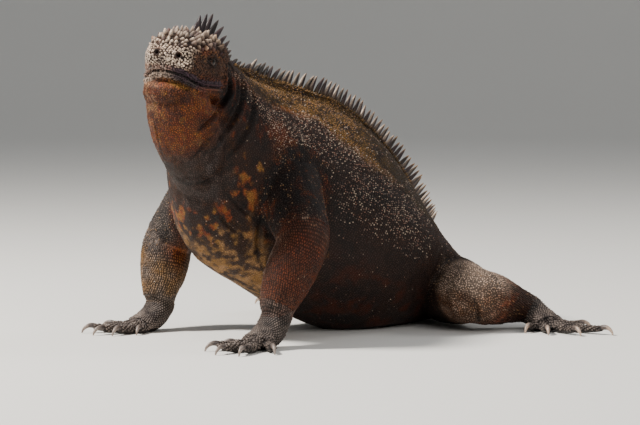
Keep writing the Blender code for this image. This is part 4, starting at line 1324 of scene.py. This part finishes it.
def repeated(name, points, faces):
    """A mesh with the same faces on each row of points, and the point at each corner of its faces."""
    count, corners = points.shape[:2]
    starts, loops = [], []
    for face in faces:
        starts.append(len(loops))
        loops += face
    shift = np.arange(count)[:, None]
    index = (np.array(loops)[None] + shift * corners).ravel()
    mesh = bpy.data.meshes.new(name)
    mesh.vertices.add(count * corners)
    mesh.vertices.foreach_set("co", points.ravel())
    mesh.loops.add(len(index))
    mesh.loops.foreach_set("vertex_index", index)
    mesh.polygons.add(count * len(starts))
    mesh.polygons.foreach_set("loop_start", (np.array(starts)[None] + shift * len(loops)).ravel())
    mesh.update(calc_edges=True)
    mesh.validate()
    return mesh, index


def cast(tree, start, way, far):
    """First place that the ray meets from outside, passing through what it leaves from inside."""
    for _ in range(4):
        hit = tree.ray_cast(start, way, far)
        if hit[0] is None:
            return None
        if hit[1].dot(way) < -0.05:
            return hit[0]
        start = hit[0] + way * 0.0002
        far -= hit[3]
    return None


def rows_round(tree, centres, radii, up, pitch, span=180, rays=72, reach=1.6):
    """Places in staggered rows across a long form, with their lie and their shares along and round it."""
    tangents, sides, normals = frames(centres, up)
    places, lies, cells = [], [], []
    stations = zip(centres, tangents, sides, normals, radii)
    for i, (centre, tangent, side, normal, radius) in enumerate(stations):
        runs = [[]]
        for k in range(rays + 1):
            a = math.radians(span) * (2 * k / rays - 1)
            way = Vector(normal * math.cos(a) + side * math.sin(a))
            hit = cast(tree, Vector(centre) + way * radius * reach, -way, radius * reach)
            if hit is None or runs[-1] and (hit - runs[-1][-1][0]).length > 0.35 * radius:
                runs.append([])
            if hit is not None:
                runs[-1].append((hit, k / rays))
        for run in runs:
            if len(run) < 3:
                continue
            line = np.array([(*hit, share) for hit, share in run])
            lengths = lengths_of(line[:, :3])
            row = read_off(np.arange(pitch * (0.25 + 0.5 * (i % 2)), lengths[-1], pitch), lengths, line)
            places.append(row[:, :3])
            lies.append(np.repeat(tangent[None], len(row), axis=0))
            cells.append(np.stack([np.full(len(row), i / max(1, len(centres) - 1)), row[:, 3]], axis=1))
    return np.vstack(places), np.vstack(lies), np.vstack(cells)


def on_skin(tree, places):
    """The nearest points of the skin and the directions out of it there."""
    points, normals = np.empty_like(places), np.empty_like(places)
    for i, place in enumerate(places):
        near = tree.find_nearest(Vector(place))
        points[i], normals[i] = near[0], near[1]
    return points, normals


def along_path(centres, radii, pitch):
    """Centres and radii at even steps along a path."""
    rows = smooth_rows(np.hstack([array_of(centres), np.array(radii)[:, None]]), 12)
    lengths = lengths_of(rows[:, :3])
    even = read_off(np.arange(0, lengths[-1], pitch), lengths, rows)
    return even[:, :3], even[:, 3]


def vary(draw, count, spread):
    return 1 + draw.uniform(-spread, spread, count)


def in_column(cells, column=0, columns=1):
    """Moves shares along and round into one column of the bake's map, clear of its edges."""
    return np.stack([(column + 0.04 + 0.92 * cells[:, 0]) / columns, 0.01 + 0.98 * cells[:, 1]], axis=1)


def painted_glints(draw, at, base, tip, smooth, back):
    """Tips of the flank's granules: most dark, and some grey or pink and a few almost white as painted
    glints, most of them on the upper flank where light falls.
    """
    chance = draw.random(len(base))
    rough = noise(at.points, 0.016, 18)
    # Painted glints fade down the flank's side: many on the lit upper flank, hardly any in the shade below.
    upper = (1 - smooth) * (1 - 0.85 * back) * (1 - step(96, 114, at.theta + 9 * rough))
    lit_flank = upper * between(0.055, 0.235, 0.03, at.along + 0.012 * rough)
    patchy = np.clip(0.85 + 0.9 * rough, 0.30, 1.4) * (0.05 + 0.95 * lit_flank)
    tip = mix(tip, base * 1.4 + COAL, (chance < 0.25) * 0.85)
    # Grey, pink and near-white tips: painted glints.
    tip = mix(tip, mix(ASH * 1.1, PINK * 1.2, draw.random(len(base))), (chance > 1 - 0.60 * patchy) * 0.80)
    tip = mix(tip, mix(PALE, BONE, draw.random(len(base))), (chance > 1 - 0.17 * patchy) * 0.90)
    earthy = back * between(0.05, 0.17, 0.03, at.along) * np.clip(0.35 + 0.6 * rough, 0, 1)
    return mix(tip, mix(OCHRE, TAN * 1.2, draw.random(len(base))), (chance < earthy) * 0.9)


def trunk_scales(tree, draw):
    """Granular scales in rows across the neck, trunk and root of the tail."""
    rows = SPINE.rows[: np.searchsorted(SPINE.lengths, 0.385)]
    centres, radii = along_path(rows[::8, :3], rows[::8, 3:6].max(axis=1), ROW_PITCH)
    places, lies, cells = rows_round(tree, centres, radii, (0, 0, 1), ROW_PITCH, rays=110, reach=1.5)
    places, normals = on_skin(tree, places + draw.normal(0, 0.00028, places.shape))
    at = survey(places)
    keep = (at.skull < 0.5) & (at.limb > LIMB_EDGE) & (places[:, 2] > SCALE_CLEARANCE)
    keep &= at.along < TAIL_SCALES_FROM
    keep &= ~((at.throat < 1.20) & (at.theta > 95) & (at.along < 0.09))
    places, normals, lies, cells = (a[keep] for a in (places, normals, lies, cells))
    at = picked(at, keep)
    base, tip = markings(at)
    count = len(places)
    smooth = step(98, 125, at.theta)
    back = 1 - step(-8, 0, at.theta - np.interp(at.along, *PALE_LINE))
    size = (1 - 0.15 * smooth) * vary(draw, count, 0.14)
    height = 0.00080 - 0.00050 * smooth - 0.00030 * back * step(0.18, 0.23, at.along)
    height = height * vary(draw, count, 0.30)
    sizes = np.stack([0.00105 * size, 0.00098 * size, height], axis=1)
    # Painted glints on the tips of the flank's granules.
    tip = painted_glints(draw, at, base, tip, smooth, back)
    base = base * vary(draw, count, 0.30)[:, None]
    normals = unit(normals + draw.normal(0, 0.16, (count, 3)) * (1 - 0.7 * smooth)[:, None])
    for name, half, shift in (("right", cells[:, 1] < 0.5, 0), ("left", cells[:, 1] >= 0.5, 1)):
        spots = in_column(cells[half] * (1, 2) - (0, shift))
        chosen = [a[half] for a in (places, normals, lies, sizes, base, tip)]
        finish_piece(scatter(f"{name}_trunk_scales", GRANULE, *chosen, spots), "scale", "trunk_hide")


def tail_scales(tree, draw):
    """Keeled scales in rings along the tail."""
    rows = SPINE.rows[np.searchsorted(SPINE.lengths, 0.380) : -2]
    centres, radii = along_path(rows[::6, :3], rows[::6, 3:6].max(axis=1), 0.0036)
    places, lies, cells = rows_round(tree, centres, radii, (0, 0, 1), 0.0030, rays=60, reach=1.6)
    places, normals = on_skin(tree, places)
    at = survey(places)
    keep = (at.limb > LIMB_EDGE) & (places[:, 2] > SCALE_CLEARANCE) & (at.along >= TAIL_SCALES_FROM)
    places, normals, lies, cells = (a[keep] for a in (places, normals, lies, cells))
    base, tip = markings(picked(at, keep))
    count = len(places)
    height = 0.0011 * vary(draw, count, 0.2)
    sizes = np.stack([np.full(count, 0.0024), np.full(count, 0.00155), height], axis=1)
    base = base * vary(draw, count, 0.25)[:, None]
    piece = scatter("tail_scales", KEELED, places, normals, lies, sizes, base, tip, in_column(cells))
    finish_piece(piece, "scale", "tail_hide")


def limb_rows(tree, name, draw):
    """Rows of places round the outer length of a limb, their normals, lies and shares along and round it."""
    middle, radii, _ = limb_path(name)
    centres, radii = along_path(middle, radii, 0.0018)
    start = len(centres) * (2 if name.endswith("arm") else 3) // 5
    across = (middle[-1] - middle[0]).cross(Vector((0, 0, 1)))
    path = (centres[start:], radii[start:], across)
    places, lies, cells = rows_round(tree, *path, ROW_PITCH, rays=96, reach=1.45)
    places, normals = on_skin(tree, places + draw.normal(0, 0.00022, places.shape))
    at = survey(places)
    keep = (at.limb < LIMB_COVER) & (at.which == list(LIMBS).index(name)) & (places[:, 2] > SCALE_CLEARANCE)
    keep &= (at.reach < 2.02) & (at.reach > ROWS_FROM[name[-3:]])
    return places[keep], normals[keep], lies[keep], cells[keep]


def limb_granules(skin, tree, name, draw):
    """Irregular places on the root and bend of a limb, where the scales stand in no rows."""
    number = list(LIMBS).index(name)
    root, bend, _ = (np.array(joint) for joint in LIMBS[name])

    def wanted(points):
        near = far_from(points, (root + bend) / 2) < 0.085
        at = survey(points[near])
        fits = (at.limb < LIMB_COVER) & (at.which == number) & (at.reach <= ROWS_FROM[name[-3:]])
        near[near] = fits & (at.points[:, 2] > SCALE_CLEARANCE)
        return near

    places, normals, _ = sprinkle(skin, tree, wanted, lambda p: np.full(len(p), 0.0018), draw)
    lies = np.repeat((bend - root)[None], len(places), axis=0)
    turn = np.arctan2(places[:, 2] - root[2], places[:, 0] - root[0]) / (2 * math.pi) + 0.5
    along = np.clip((places - root) @ (bend - root) / ((bend - root) @ (bend - root)), 0, 1)
    return places, normals, lies, np.stack([along, turn], axis=1)


def limb_scales(skin, tree, draw):
    """Granules on the root of each limb and keeled scales in rows round the rest of it."""
    for side in ("left", "right"):
        turn = 1 if side == "left" else -1
        for part, pattern, width in (("granules", GRANULE, 0.00098), ("scales", KEELED, 0.00108)):
            parts = []
            for column, kind in enumerate(("arm", "leg")):
                name = f"{side}_{kind}"
                if part == "scales":
                    found = limb_rows(tree, name, draw)
                else:
                    found = limb_granules(skin, tree, name, draw)
                parts.append([*found[:3], in_column(found[3], column, 2)])
            places, normals, lies, cells = (np.vstack(a) for a in zip(*parts))
            at = survey(places)
            base, tip = markings(at)
            count = len(places)
            inner = np.where(at.which < 2, step(0.3, 0.8, -normals[:, 0] * turn), 0)
            soft = np.maximum(inner, step(0.3, 0.8, -normals[:, 2]))
            ruddy = (at.which == 0) & (at.reach > 0.95) & (places[:, 0] > 0.078)
            soft = np.maximum(soft, ruddy * 0.9)
            grow = vary(draw, count, 0.12) * (1 - 0.15 * soft)
            height = 0.00058 * vary(draw, count, 0.30) * (1 - 0.6 * soft)
            sizes = np.stack([width * 1.15 * grow, width * grow, height], axis=1)
            tip = mix(tip, base * 1.5, (draw.random(count) < 0.30) * 0.6)
            # A few pale tips, none on the inner and lower sides: painted glints.
            tip = mix(tip, mix(ASH, TAN, draw.random(count)), (draw.random(count) < 0.12 * (1 - soft)) * 0.7)
            tip = tip * vary(draw, count, 0.25)[:, None]
            base = base * (vary(draw, count, 0.22) * (1 + 0.8 * soft))[:, None]
            piece = scatter(f"{side}_limb_{part}", pattern, places, normals, lies, sizes, base, tip, cells)
            finish_piece(piece, "scale", "leg_hide")


def foot_scales(tree, draw):
    """Raised plates across the back of each toe, hand and foot."""
    for side in ("left", "right"):
        parts = []
        for kind in ("arm", "leg"):
            name = f"{side}_{kind}"
            paths = [(palm_path(name), [PALM_WIDTH[kind]] * 3, 0.0022, 1.35)]
            paths += [(*digit_path(name, digit), 0.0025, 1.50) for digit in range(5)]
            for middle, radii, pitch, reach in paths:
                centres, radii = along_path(middle, radii, pitch * 0.84)
                places, lies, cells = rows_round(tree, centres, radii, (0, 0, 1), pitch, 128, 40, reach)
                places, normals = on_skin(tree, places)
                at = survey(places)
                keep = (at.reach > 1.98) & (places[:, 2] > 0.0030) & (at.which == list(LIMBS).index(name))
                spots = in_column(cells, len(parts), 12)
                parts.append([a[keep] for a in (places, normals, lies, spots)])
        places, normals, lies, cells = (np.vstack(a) for a in zip(*parts))
        at = survey(places)
        base, tip = markings(at)
        count = len(places)
        grow = vary(draw, count, 0.12) * (0.70 + 0.30 * step(2.1, 2.5, at.reach))
        sizes = np.stack([0.00150 * grow, 0.00145 * grow, 0.0010 * grow * vary(draw, count, 0.25)], axis=1)
        base = base * vary(draw, count, 0.25)[:, None]
        piece = scatter(f"{side}_foot_scales", KEELED, places, normals, lies, sizes, base, tip, cells)
        finish_piece(piece, "scale", "foot_hide")


def sprinkle(skin, tree, wanted, pitch, draw):
    """Even but irregular places on the wanted part of the skin, about as far apart as their pitch."""
    middles = read(skin.data, "center", "polygons")
    areas = np.empty(len(middles))
    skin.data.polygons.foreach_get("area", areas)
    chosen = np.flatnonzero(wanted(middles))
    gaps = pitch(middles[chosen])
    weights = areas[chosen] / gaps**2
    count = int(weights.sum() * 6)
    pick = draw.choice(len(chosen), count, p=weights / weights.sum())
    tries = middles[chosen][pick] + draw.normal(0, 0.0004, (count, 3))
    apart = gaps[pick]
    keys = np.floor(tries / apart.max()).astype(int)
    around = [(x, y, z) for x in (-1, 0, 1) for y in (-1, 0, 1) for z in (-1, 0, 1)]
    grid, kept = {}, []
    for i in range(count):
        key = tuple(keys[i])
        near = [j for x, y, z in around for j in grid.get((key[0] + x, key[1] + y, key[2] + z), ())]
        if near:
            gap = np.linalg.norm(tries[near] - tries[i], axis=1)
            if np.any(gap < 0.45 * (apart[near] + apart[i])):
                continue
        grid.setdefault(key, []).append(i)
        kept.append(i)
    places, normals = on_skin(tree, tries[kept])
    return places, normals, apart[kept]


def ball_cells(points):
    """Places on an unwrap of the head: the angle round it and the height on it."""
    f, s, u = head_local(points).T
    turn = np.arctan2(s, f) / (2 * math.pi) + 0.5
    rise = np.arctan2(u, np.hypot(f, s)) / math.pi + 0.5
    return np.stack([0.01 + 0.98 * turn, 0.01 + 0.98 * rise], axis=1)


def head_pitch(points):
    """How far apart the head's scales stand: wide on the crown, fine round the mouth and eyes."""
    f, _, u = head_local(points).T
    crown = step(0.006, 0.013, u)
    gap = 0.0017 + 0.0030 * crown * (1 - 0.40 * step(0.018, 0.032, f)) * (1 - 0.45 * step(-0.012, -0.030, f))
    gap += 0.0008 * noise(points, 0.008, 17) * crown
    eye = np.sqrt((f - EYE_PLACE[0]) ** 2 + (u - EYE_PLACE[2]) ** 2)
    gap -= 0.0005 * (1 - step(0.008, 0.013, eye)) * (1 - crown)
    return gap - 0.0004 * step(-0.0165, -0.020, u)


def clear_of_features(points, skull_tree):
    """Whether each point keeps off the mouth's line, the eyes, the nostrils and the ears."""
    clear = off_mouth(points, skull_tree) > 0.0011
    for side in (-1, 1):
        clear &= eye_frame(points, side)[0] > 1.35
        clear &= nostril_frame(points, side)[0] > 0.0028
        clear &= ear_frame(points, side) > 1.0
    return clear


def head_scales(skin, tree, skull_tree, draw):
    """Pyramids on the crown, beads on the snout and cheeks, and rows of beads round its openings."""
    f, _, u = HEAD_AXES
    places, normals, gaps = sprinkle(skin, tree, lambda p: skull_share(p) > 0.5, head_pitch, draw)
    rims, rim_sizes = rim_places(skull_tree)
    rims, rim_normals = on_skin(tree, rims)
    outside = (nostril_frame(rims, 1)[0] > 0.0018) & (nostril_frame(rims, -1)[0] > 0.0018)
    rims, rim_normals, rim_sizes = rims[outside], rim_normals[outside], rim_sizes[outside]
    near = np.array([np.min(np.linalg.norm(rims - p, axis=1)) for p in places])
    keep = clear_of_features(places, skull_tree) & (near > 0.0011)
    places, normals, gaps = places[keep], normals[keep], gaps[keep]
    forward, left, _ = head_local(places).T
    big = gaps > 0.0024
    base, tip = markings(survey(places))
    count = len(places)
    half = gaps * np.where(big, 0.62, 0.64) * vary(draw, count, 0.15)
    middle = bell(forward, -0.002, 0.018) * bell(left, 0, 0.014)
    lips = 1 - 0.6 * step(-0.0040, -0.0070, mouth_rise(forward, left, head_local(places)[:, 2]))
    height = np.where(big, gaps * (0.72 + 0.50 * middle), gaps * 0.46 * lips) * vary(draw, count, 0.38)
    sizes = np.stack([half, half * vary(draw, count, 0.12), height], axis=1)
    lean = unit(normals + u * 0.25 * big[:, None] - f * 0.10)
    lies = np.repeat(-f[None], count, axis=0) + draw.normal(0, 0.5, (count, 3))
    tip = mix(tip, PLUM * 1.6, ((draw.random(count) > 0.84) & big) * 0.8)
    tip = tip * vary(draw, count, 0.38)[:, None]
    base = base * vary(draw, count, 0.22)[:, None]
    cells = ball_cells(places)
    kinds = (("crown_tubercles", TUBERCLE, big, 1.5), ("face_scales", BEAD, ~big, 0.8))
    for name, pattern, mask, fade in kinds:
        chosen = [a[mask] for a in (places, lean, lies, sizes, base, tip, cells)]
        finish_piece(scatter(name, pattern, *chosen, fade), "head_scale", "head_hide")
    rim_scales(rims, rim_normals, rim_sizes, draw)


def rim_scales(rims, normals, rim_sizes, draw):
    """The rows of beads round mouth, nostrils and eyes."""
    base, tip = markings(survey(rims))
    half = rim_sizes * vary(draw, len(rims), 0.12)
    sizes = np.stack([half, half * 0.95, half * 0.70 * vary(draw, len(rims), 0.25)], axis=1)
    lies = np.repeat(HEAD_AXES[:1], len(rims), axis=0)
    piece = scatter("rim_scales", BEAD, rims, normals, lies, sizes, base, tip * 1.05, ball_cells(rims))
    finish_piece(piece, "head_scale", "head_hide")


def rim_places(skull_tree):
    """Beads in rows along the lips and round each nostril and eye, with their half sizes."""
    places, sizes = [], []
    for lift, pitch in ((0.0017, 0.0014), (-0.0019, 0.0017)):
        path = array_of(mouth_line(skull_tree, lift, 0.0, 60))
        lengths = lengths_of(path)
        at = np.arange(0.0005 * (lift > 0), lengths[-1], pitch)
        places.append(read_off(at, lengths, path))
        sizes.append(np.full(len(at), pitch * 0.56))
    f, s, u = HEAD_AXES
    for side in (-1, 1):
        _, axis = nostril_frame(np.zeros((1, 3)), side)
        first = np.cross(axis, u)
        first /= np.linalg.norm(first)
        second = np.cross(axis, first)
        for a in np.arange(12) * 2 * math.pi / 12:
            ring = (first * math.cos(a) + second * math.sin(a)) * 0.0023
            places.append((nostril_middle(side) + ring)[None])
            sizes.append(np.array([0.00066]))
        eye = eye_middle(side)
        for oval, size in ((1.18, 0.00036), (1.50, 0.00050)):
            for a in np.arange(0.5, 24) * 2 * math.pi / 24:
                along = LID_OPENING[0] * oval * math.cos(a)
                rise = LID_OPENING[1] * oval * math.sin(a) * (1 - 0.35 * abs(math.cos(a)))
                out = math.sqrt(max(0.0, (EYE_RADIUS + LID_THICKNESS) ** 2 - along**2 - rise**2))
                places.append((eye + f * along + u * rise + s * side * out)[None])
                sizes.append(np.array([size]))
    return np.vstack(places), np.concatenate(sizes)


def on_throat(points):
    near = far_from(points, THROAT[2][:3]) < 0.10
    at = survey(points[near])
    near[near] = (at.throat < 1.28) & (at.theta > 88) & (at.skull < 0.5) & (at.along < 0.10)
    return near


def throat_scales(skin, tree, draw):
    """Fine flat granules over the throat."""
    places, normals, gaps = sprinkle(skin, tree, on_throat, lambda p: np.full(len(p), 0.0017), draw)
    base, tip = markings(survey(places))
    count = len(places)
    half = gaps * 0.50 * vary(draw, count, 0.15)
    sizes = np.stack([half * 1.20, half * 0.90, gaps * 0.24 * vary(draw, count, 0.4)], axis=1)
    tip = tip * vary(draw, count, 0.30)[:, None]
    lies = np.array([[-0.1, 0.3, -1.0]]) + draw.normal(0, 0.15, (count, 3))
    base = base * vary(draw, count, 0.25)[:, None]
    turn = (np.arctan2(places[:, 0] - 0.022, -(places[:, 1] + 0.20)) / (2 * math.pi)) % 1.0
    rise = np.clip((places[:, 2] - 0.10) / 0.12, 0, 1)
    cells = np.stack([0.01 + 0.98 * turn, 0.01 + 0.98 * rise], axis=1)
    piece = scatter("throat_scales", GRANULE, places, normals, lies, sizes, base, tip, cells)
    finish_piece(piece, "scale", "neck_hide")


# ---------------------------------------------------------------- crest, claws and eyes


def spine_shape(base, lean, back, height, widths, bend):
    """A tapered, flattened spine of eight sides, curved back, with its root below the skin."""
    side = np.cross(lean, back)
    points, tall = [], []
    for rise, size in ((-SPINE_ROOT / height, 1.15), *SPINE_RINGS):
        middle = base + lean * rise * height + back * bend * height * max(rise, 0) ** 2
        for k in range(8):
            a = 2 * math.pi * k / 8
            points.append(middle + (back * widths[0] * math.cos(a) + side * widths[1] * math.sin(a)) * size)
            tall.append(rise)
    points.append(base + lean * height + back * bend * height)
    tall.append(1.0)
    faces = [tuple(reversed(range(8)))]
    for i in range(len(SPINE_RINGS)):
        for k in range(8):
            n = (k + 1) % 8
            faces.append((i * 8 + k, i * 8 + n, i * 8 + 8 + n, i * 8 + 8 + k))
    top = len(SPINE_RINGS) * 8
    faces += [(top + k, top + (k + 1) % 8, top + 8) for k in range(8)]
    return points, faces, np.array(tall)


def spine_colours(at, tall, draw):
    """Dark spines with painted highlights on their front edges, paler tips, yellower towards the rear."""
    whole = np.ones(len(tall))
    root = mix(PLUM * 0.7, OLIVE * 0.6, whole * np.interp(at, (0.06, 0.12, 0.3), (0, 0.6, 0.3)))
    dark = mix(COAL, PLUM * 0.8, whole * draw.uniform(0, 1))
    gold = np.interp(at, (0.0, 0.08, 0.20, 0.30), (0.0, 0.15, 0.30, 0.75)) * draw.uniform(0.5, 1.0)
    pale = mix(SLATE * 1.6, OCHRE * 1.4, whole * gold)
    colour = mix(root, dark, step(0.05, 0.35, tall))
    colour = mix(colour, pale, step(0.70, 1.0, tall) * 0.8 * step(0.0, 0.06, at))
    # A painted highlight along each spine's front edge, stronger on some spines than on others.
    edge = np.clip(-np.cos(2 * math.pi * (np.arange(len(tall)) % 8) / 8), 0, 1) ** 2
    lit = draw.choice((0.10, 0.50, 1.0), p=(0.4, 0.35, 0.25)) * np.interp(at, (0.05, 0.09), (0.04, 1.0))
    return mix(colour, mix(PALE, BONE, whole * 0.5), edge * step(0.05, 0.35, tall) * lit)


def crest_places(tree, draw):
    """Where each spine of the crest stands: distance along the back, foot, way back, way up and height."""
    points, rises = crest_line()
    lengths = lengths_of(points)

    def on_line(rows, at):
        return np.array([np.interp(at, lengths, rows[:, k]) for k in range(3)])

    feet = []
    at = 0.0
    while at < lengths[-1]:
        rise = on_line(rises, at)
        rise /= np.linalg.norm(rise)
        tangent = on_line(points, at + 0.010) - on_line(points, at - 0.010)
        tangent /= np.linalg.norm(tangent)
        height, spacing = (float(np.interp(at, CREST[0], CREST[k])) for k in (1, 2))
        hit = tree.ray_cast(Vector(on_line(points, at) + rise * 0.03), Vector(-rise), 0.05)
        if hit[0] is not None:
            feet.append((at / lengths[-1], at, np.array(hit[0]), tangent, rise, height))
        at += spacing * draw.uniform(0.90, 1.10)
    return feet


def make_crest(tree, draw):
    """Spines along the back from the crown to the tail's end."""
    corners, faces, paint, uv = [], [], [], []
    feet = crest_places(tree, draw)
    for share, at, base, tangent, rise, height in feet:
        rump = bell(at, 0.36, 0.075)
        size = height * draw.uniform(0.90, 1.06) * (1 + 0.55 * rump)
        side = np.cross(tangent, rise)
        lean = rise + tangent * draw.uniform(-0.06, 0.10) + side * draw.uniform(-0.07, 0.07)
        lean = lean + SWEEP_WAY * np.interp(at, *CREST_SWEEP)
        lean /= np.linalg.norm(lean)
        back = tangent - lean * (tangent @ lean)
        back /= np.linalg.norm(back)
        width = min(SPINE_WIDTH, SPINE_WIDTH * (0.45 + 0.55 * size / 0.014))
        width = width * np.interp(at, (0.05, 0.08), (1.25, 1.0))
        widths = (width, width * np.interp(at, (0.05, 0.09), (0.90, 0.60)))
        shape, sides, tall = spine_shape(base, lean, back, size, widths, draw.uniform(0.04, 0.18))
        faces += [tuple(len(corners) + i for i in face) for face in sides]
        corners += shape
        paint.append(spine_colours(at, tall, draw))
        turn = 2 * math.pi * (np.arange(len(tall)) % 8) / 8
        spot = np.stack([0.01 + 0.98 * share + 0.0014 * np.cos(turn), 0.5 + 0.0015 * (2 * tall - 1)], axis=1)
        uv.append(spot)
    mesh = bpy.data.meshes.new("crest")
    mesh.from_pydata([tuple(c) for c in corners], [], faces)
    give_paint(mesh, np.vstack(paint))
    layer = mesh.uv_layers.new(name="OFBake")
    index = np.empty(len(mesh.loops), int)
    mesh.loops.foreach_get("vertex_index", index)
    layer.data.foreach_set("uv", np.vstack(uv)[index].ravel())
    mesh.shade_smooth()
    finish_piece(placed("crest", mesh), "horn_scale", "trunk_hide")
    crest_feet(tree, feet, draw)


def crest_feet(tree, feet, draw):
    """Rows of small upright scales on each side of the crest's foot, more of them behind the neck."""
    found = []
    for share, at, base, tangent, rise, height in feet:
        side = np.cross(tangent, rise)
        rows = CREST_FOOT_ROWS if 0.075 < at < 0.19 else CREST_FOOT_ROWS[:3]
        for row, (off, big) in enumerate(rows):
            for turn, half in ((-1, 0), (-1, 1), (1, 0), (1, 1)):
                shift = tangent * (0.0026 * half + draw.uniform(-0.0005, 0.0005))
                start = base + side * off * turn * min(1.0, height / 0.010) + shift + rise * 0.012
                hit = tree.ray_cast(Vector(start), Vector(-rise), 0.030)
                size = big * min(1.0, height / 0.009) * draw.uniform(0.8, 1.2)
                spot = (0.01 + 0.98 * share, 0.5 + turn * (0.08 + 0.1 * row + 0.03 * half))
                if hit[0] is not None:
                    found.append((hit[0], tangent, rise + side * turn * 0.45, [size], spot))
    places, lies, ups, grow, cells = (array_of(column) for column in zip(*found))
    places, normals = on_skin(tree, places)
    normals = unit(normals + ups)
    base, tip = markings(survey(places))
    sandy = mix(OLIVE * 1.3, TAN * 1.2, draw.random(len(places)) ** 2)
    tip = mix(tip * 1.2, sandy, draw.random(len(places)) * 0.9)
    base = base * 0.7
    sizes = grow * np.array([[0.0013, 0.0010, 0.0026]])
    piece = scatter("crest_foot_scales", UPRIGHT, places, normals, lies, sizes, base, tip, cells)
    finish_piece(piece, "horn_scale", "trunk_hide")


def make_claws():
    """Each claw in streaked horn, dark at its root and pale towards its tip."""
    for name in LIMBS:
        side, kind = name.split("_")
        for number in range(5):
            node = f"{side}_{PART_NAMES[kind][2]}_claw_{number + 1}"
            claw = new_object(f"{node}_horn", [claw_shape(name, number)])
            points = read(claw.data, "co")
            points[:, 2] = np.maximum(points[:, 2], FLOOR_LIFT)
            set_points(claw, points)
            reach = far_from(points, digit_path(name, number)[0][-1])
            streak = noise(points * (1, 1, 0.5), 0.0009, 20 + number, 2)
            pale = ASH * 1.25 if kind == "arm" else PALE
            colour = mix(SLATE * 0.9, pale, step(0.0020, 0.0075, reach) * 0.85 + 0.25 * streak)
            give_paint(claw.data, np.clip(colour, 0.02, 0.9))
            claw.data.shade_smooth()
            finish_piece(claw, "claw", "horn", node)


def make_eyes():
    """Glossy eyes with a brown iris and round pupil, deep between the lids."""
    radius = EYE_RADIUS - 0.0001
    for name, side in (("left_eye", 1), ("right_eye", -1)):
        middle = eye_middle(side)
        eye = new_object(f"{name}ball", [ball(middle, [radius] * 3, head_axes(), 64)])
        points = read(eye.data, "co")
        look = np.array(mirrored(EYE_LOOK, side)) @ HEAD_AXES
        look /= np.linalg.norm(look)
        away = (points - middle) / radius
        angle = np.degrees(np.arccos(np.clip(away @ look, -1, 1)))
        spokes = noise(away, 0.12, 30, 2)
        colour = mix(mix(UMBER, BARK * 0.9, 0.5 + spokes), UMBER * 0.7, step(28, 36, angle))
        colour = mix(colour, COAL * 0.5, bell(angle, 33, 2.5))
        colour = mix(COAL * 0.3, colour, step(16, 18, angle))
        give_paint(eye.data, np.clip(colour, 0.001, 0.9))
        eye.data.shade_smooth()
        finish_piece(eye, "eye", "eye", name)


# ---------------------------------------------------------------- camera, light and floor


def plain_material(name, colour, roughness):
    material = bpy.data.materials.new(name)
    material.use_nodes = True
    shader = material.node_tree.nodes["Principled BSDF"]
    shader.inputs["Base Color"].default_value = (*colour, 1.0)
    shader.inputs["Roughness"].default_value = roughness
    return material


def add_camera():
    data = bpy.data.cameras.new("camera")
    data.lens = CAMERA_LENS
    data.sensor_width = SENSOR_WIDTH
    data.clip_end = 20
    camera = placed("camera", data)
    camera.location = CAMERA_PLACE
    camera.rotation_euler = (math.pi / 2 - math.radians(CAMERA_PITCH), 0, math.radians(CAMERA_HEADING))
    bpy.context.scene.camera = camera


def add_light(name, place, target, size, power, colour):
    data = bpy.data.lights.new(name, "AREA")
    data.shape = "DISK"
    data.size = size
    data.energy = power
    data.color = colour
    light = placed(name, data)
    light.location = place
    light.rotation_euler = (Vector(target) - Vector(place)).to_track_quat("-Z", "Y").to_euler()


def add_studio():
    """A pale floor that curves up all round into a pale wall, and soft light."""
    profile = [(5.2, 0.0), (6.0, 0.06), (6.8, 0.28), (7.4, 0.68), (7.8, 1.24), (8.0, 2.0), (8.0, 5.0)]
    around = 96
    points = [(0.0, 0.0, 0.0)]
    for radius, height in profile:
        for k in range(around):
            a = 2 * math.pi * k / around
            points.append((radius * math.cos(a), radius * math.sin(a), height))
    faces = [(0, 1 + k, 1 + (k + 1) % around) for k in range(around)]
    for i in range(len(profile) - 1):
        for k in range(around):
            n = (k + 1) % around
            low = 1 + i * around
            faces.append((low + k, low + around + k, low + around + n, low + n))
    floor = new_object("floor", [(points, faces)])
    floor.data.materials.append(plain_material("floor", (0.80, 0.79, 0.76), 0.9))
    floor.data.shade_smooth()
    add_light("key", (-0.70, -1.30, 1.80), (0.02, -0.06, 0.10), 0.34, 105, (1.0, 0.95, 0.88))
    add_light("fill", (1.7, -0.5, 1.1), (0.04, 0, 0.08), 1.5, 12, (1.0, 0.96, 0.92))
    add_light("back", (0.6, 1.6, 1.4), (0, 0, 0.10), 0.8, 10, (1.0, 0.98, 0.95))
    world = bpy.data.worlds.new("studio")
    world.use_nodes = True
    world.node_tree.nodes["Background"].inputs["Color"].default_value = (0.86, 0.89, 0.93, 1)
    world.node_tree.nodes["Background"].inputs["Strength"].default_value = 0.36
    bpy.context.scene.world = world


FLESH = ["head", "neck", "chest", "belly", "pelvis", "tail_1", "tail_2", "tail_3", "tail_4"]
for side_name in ("left", "right"):
    FLESH += [f"{side_name}_{part}" for kind in PART_NAMES.values() for part in kind]


def main():
    draw = np.random.default_rng(SEED)
    skin, skull_tree = make_skin()
    give_paint(skin.data, markings(survey(read(skin.data, "co")))[0])
    finish_piece(skin, "skin", "trunk_hide", *FLESH)
    tree = surface(skin)
    trunk_scales(tree, draw)
    tail_scales(tree, draw)
    limb_scales(skin, tree, draw)
    foot_scales(tree, draw)
    head_scales(skin, tree, skull_tree, draw)
    throat_scales(skin, tree, draw)
    make_crest(tree, draw)
    make_claws()
    make_eyes()
    add_camera()
    add_studio()


main()
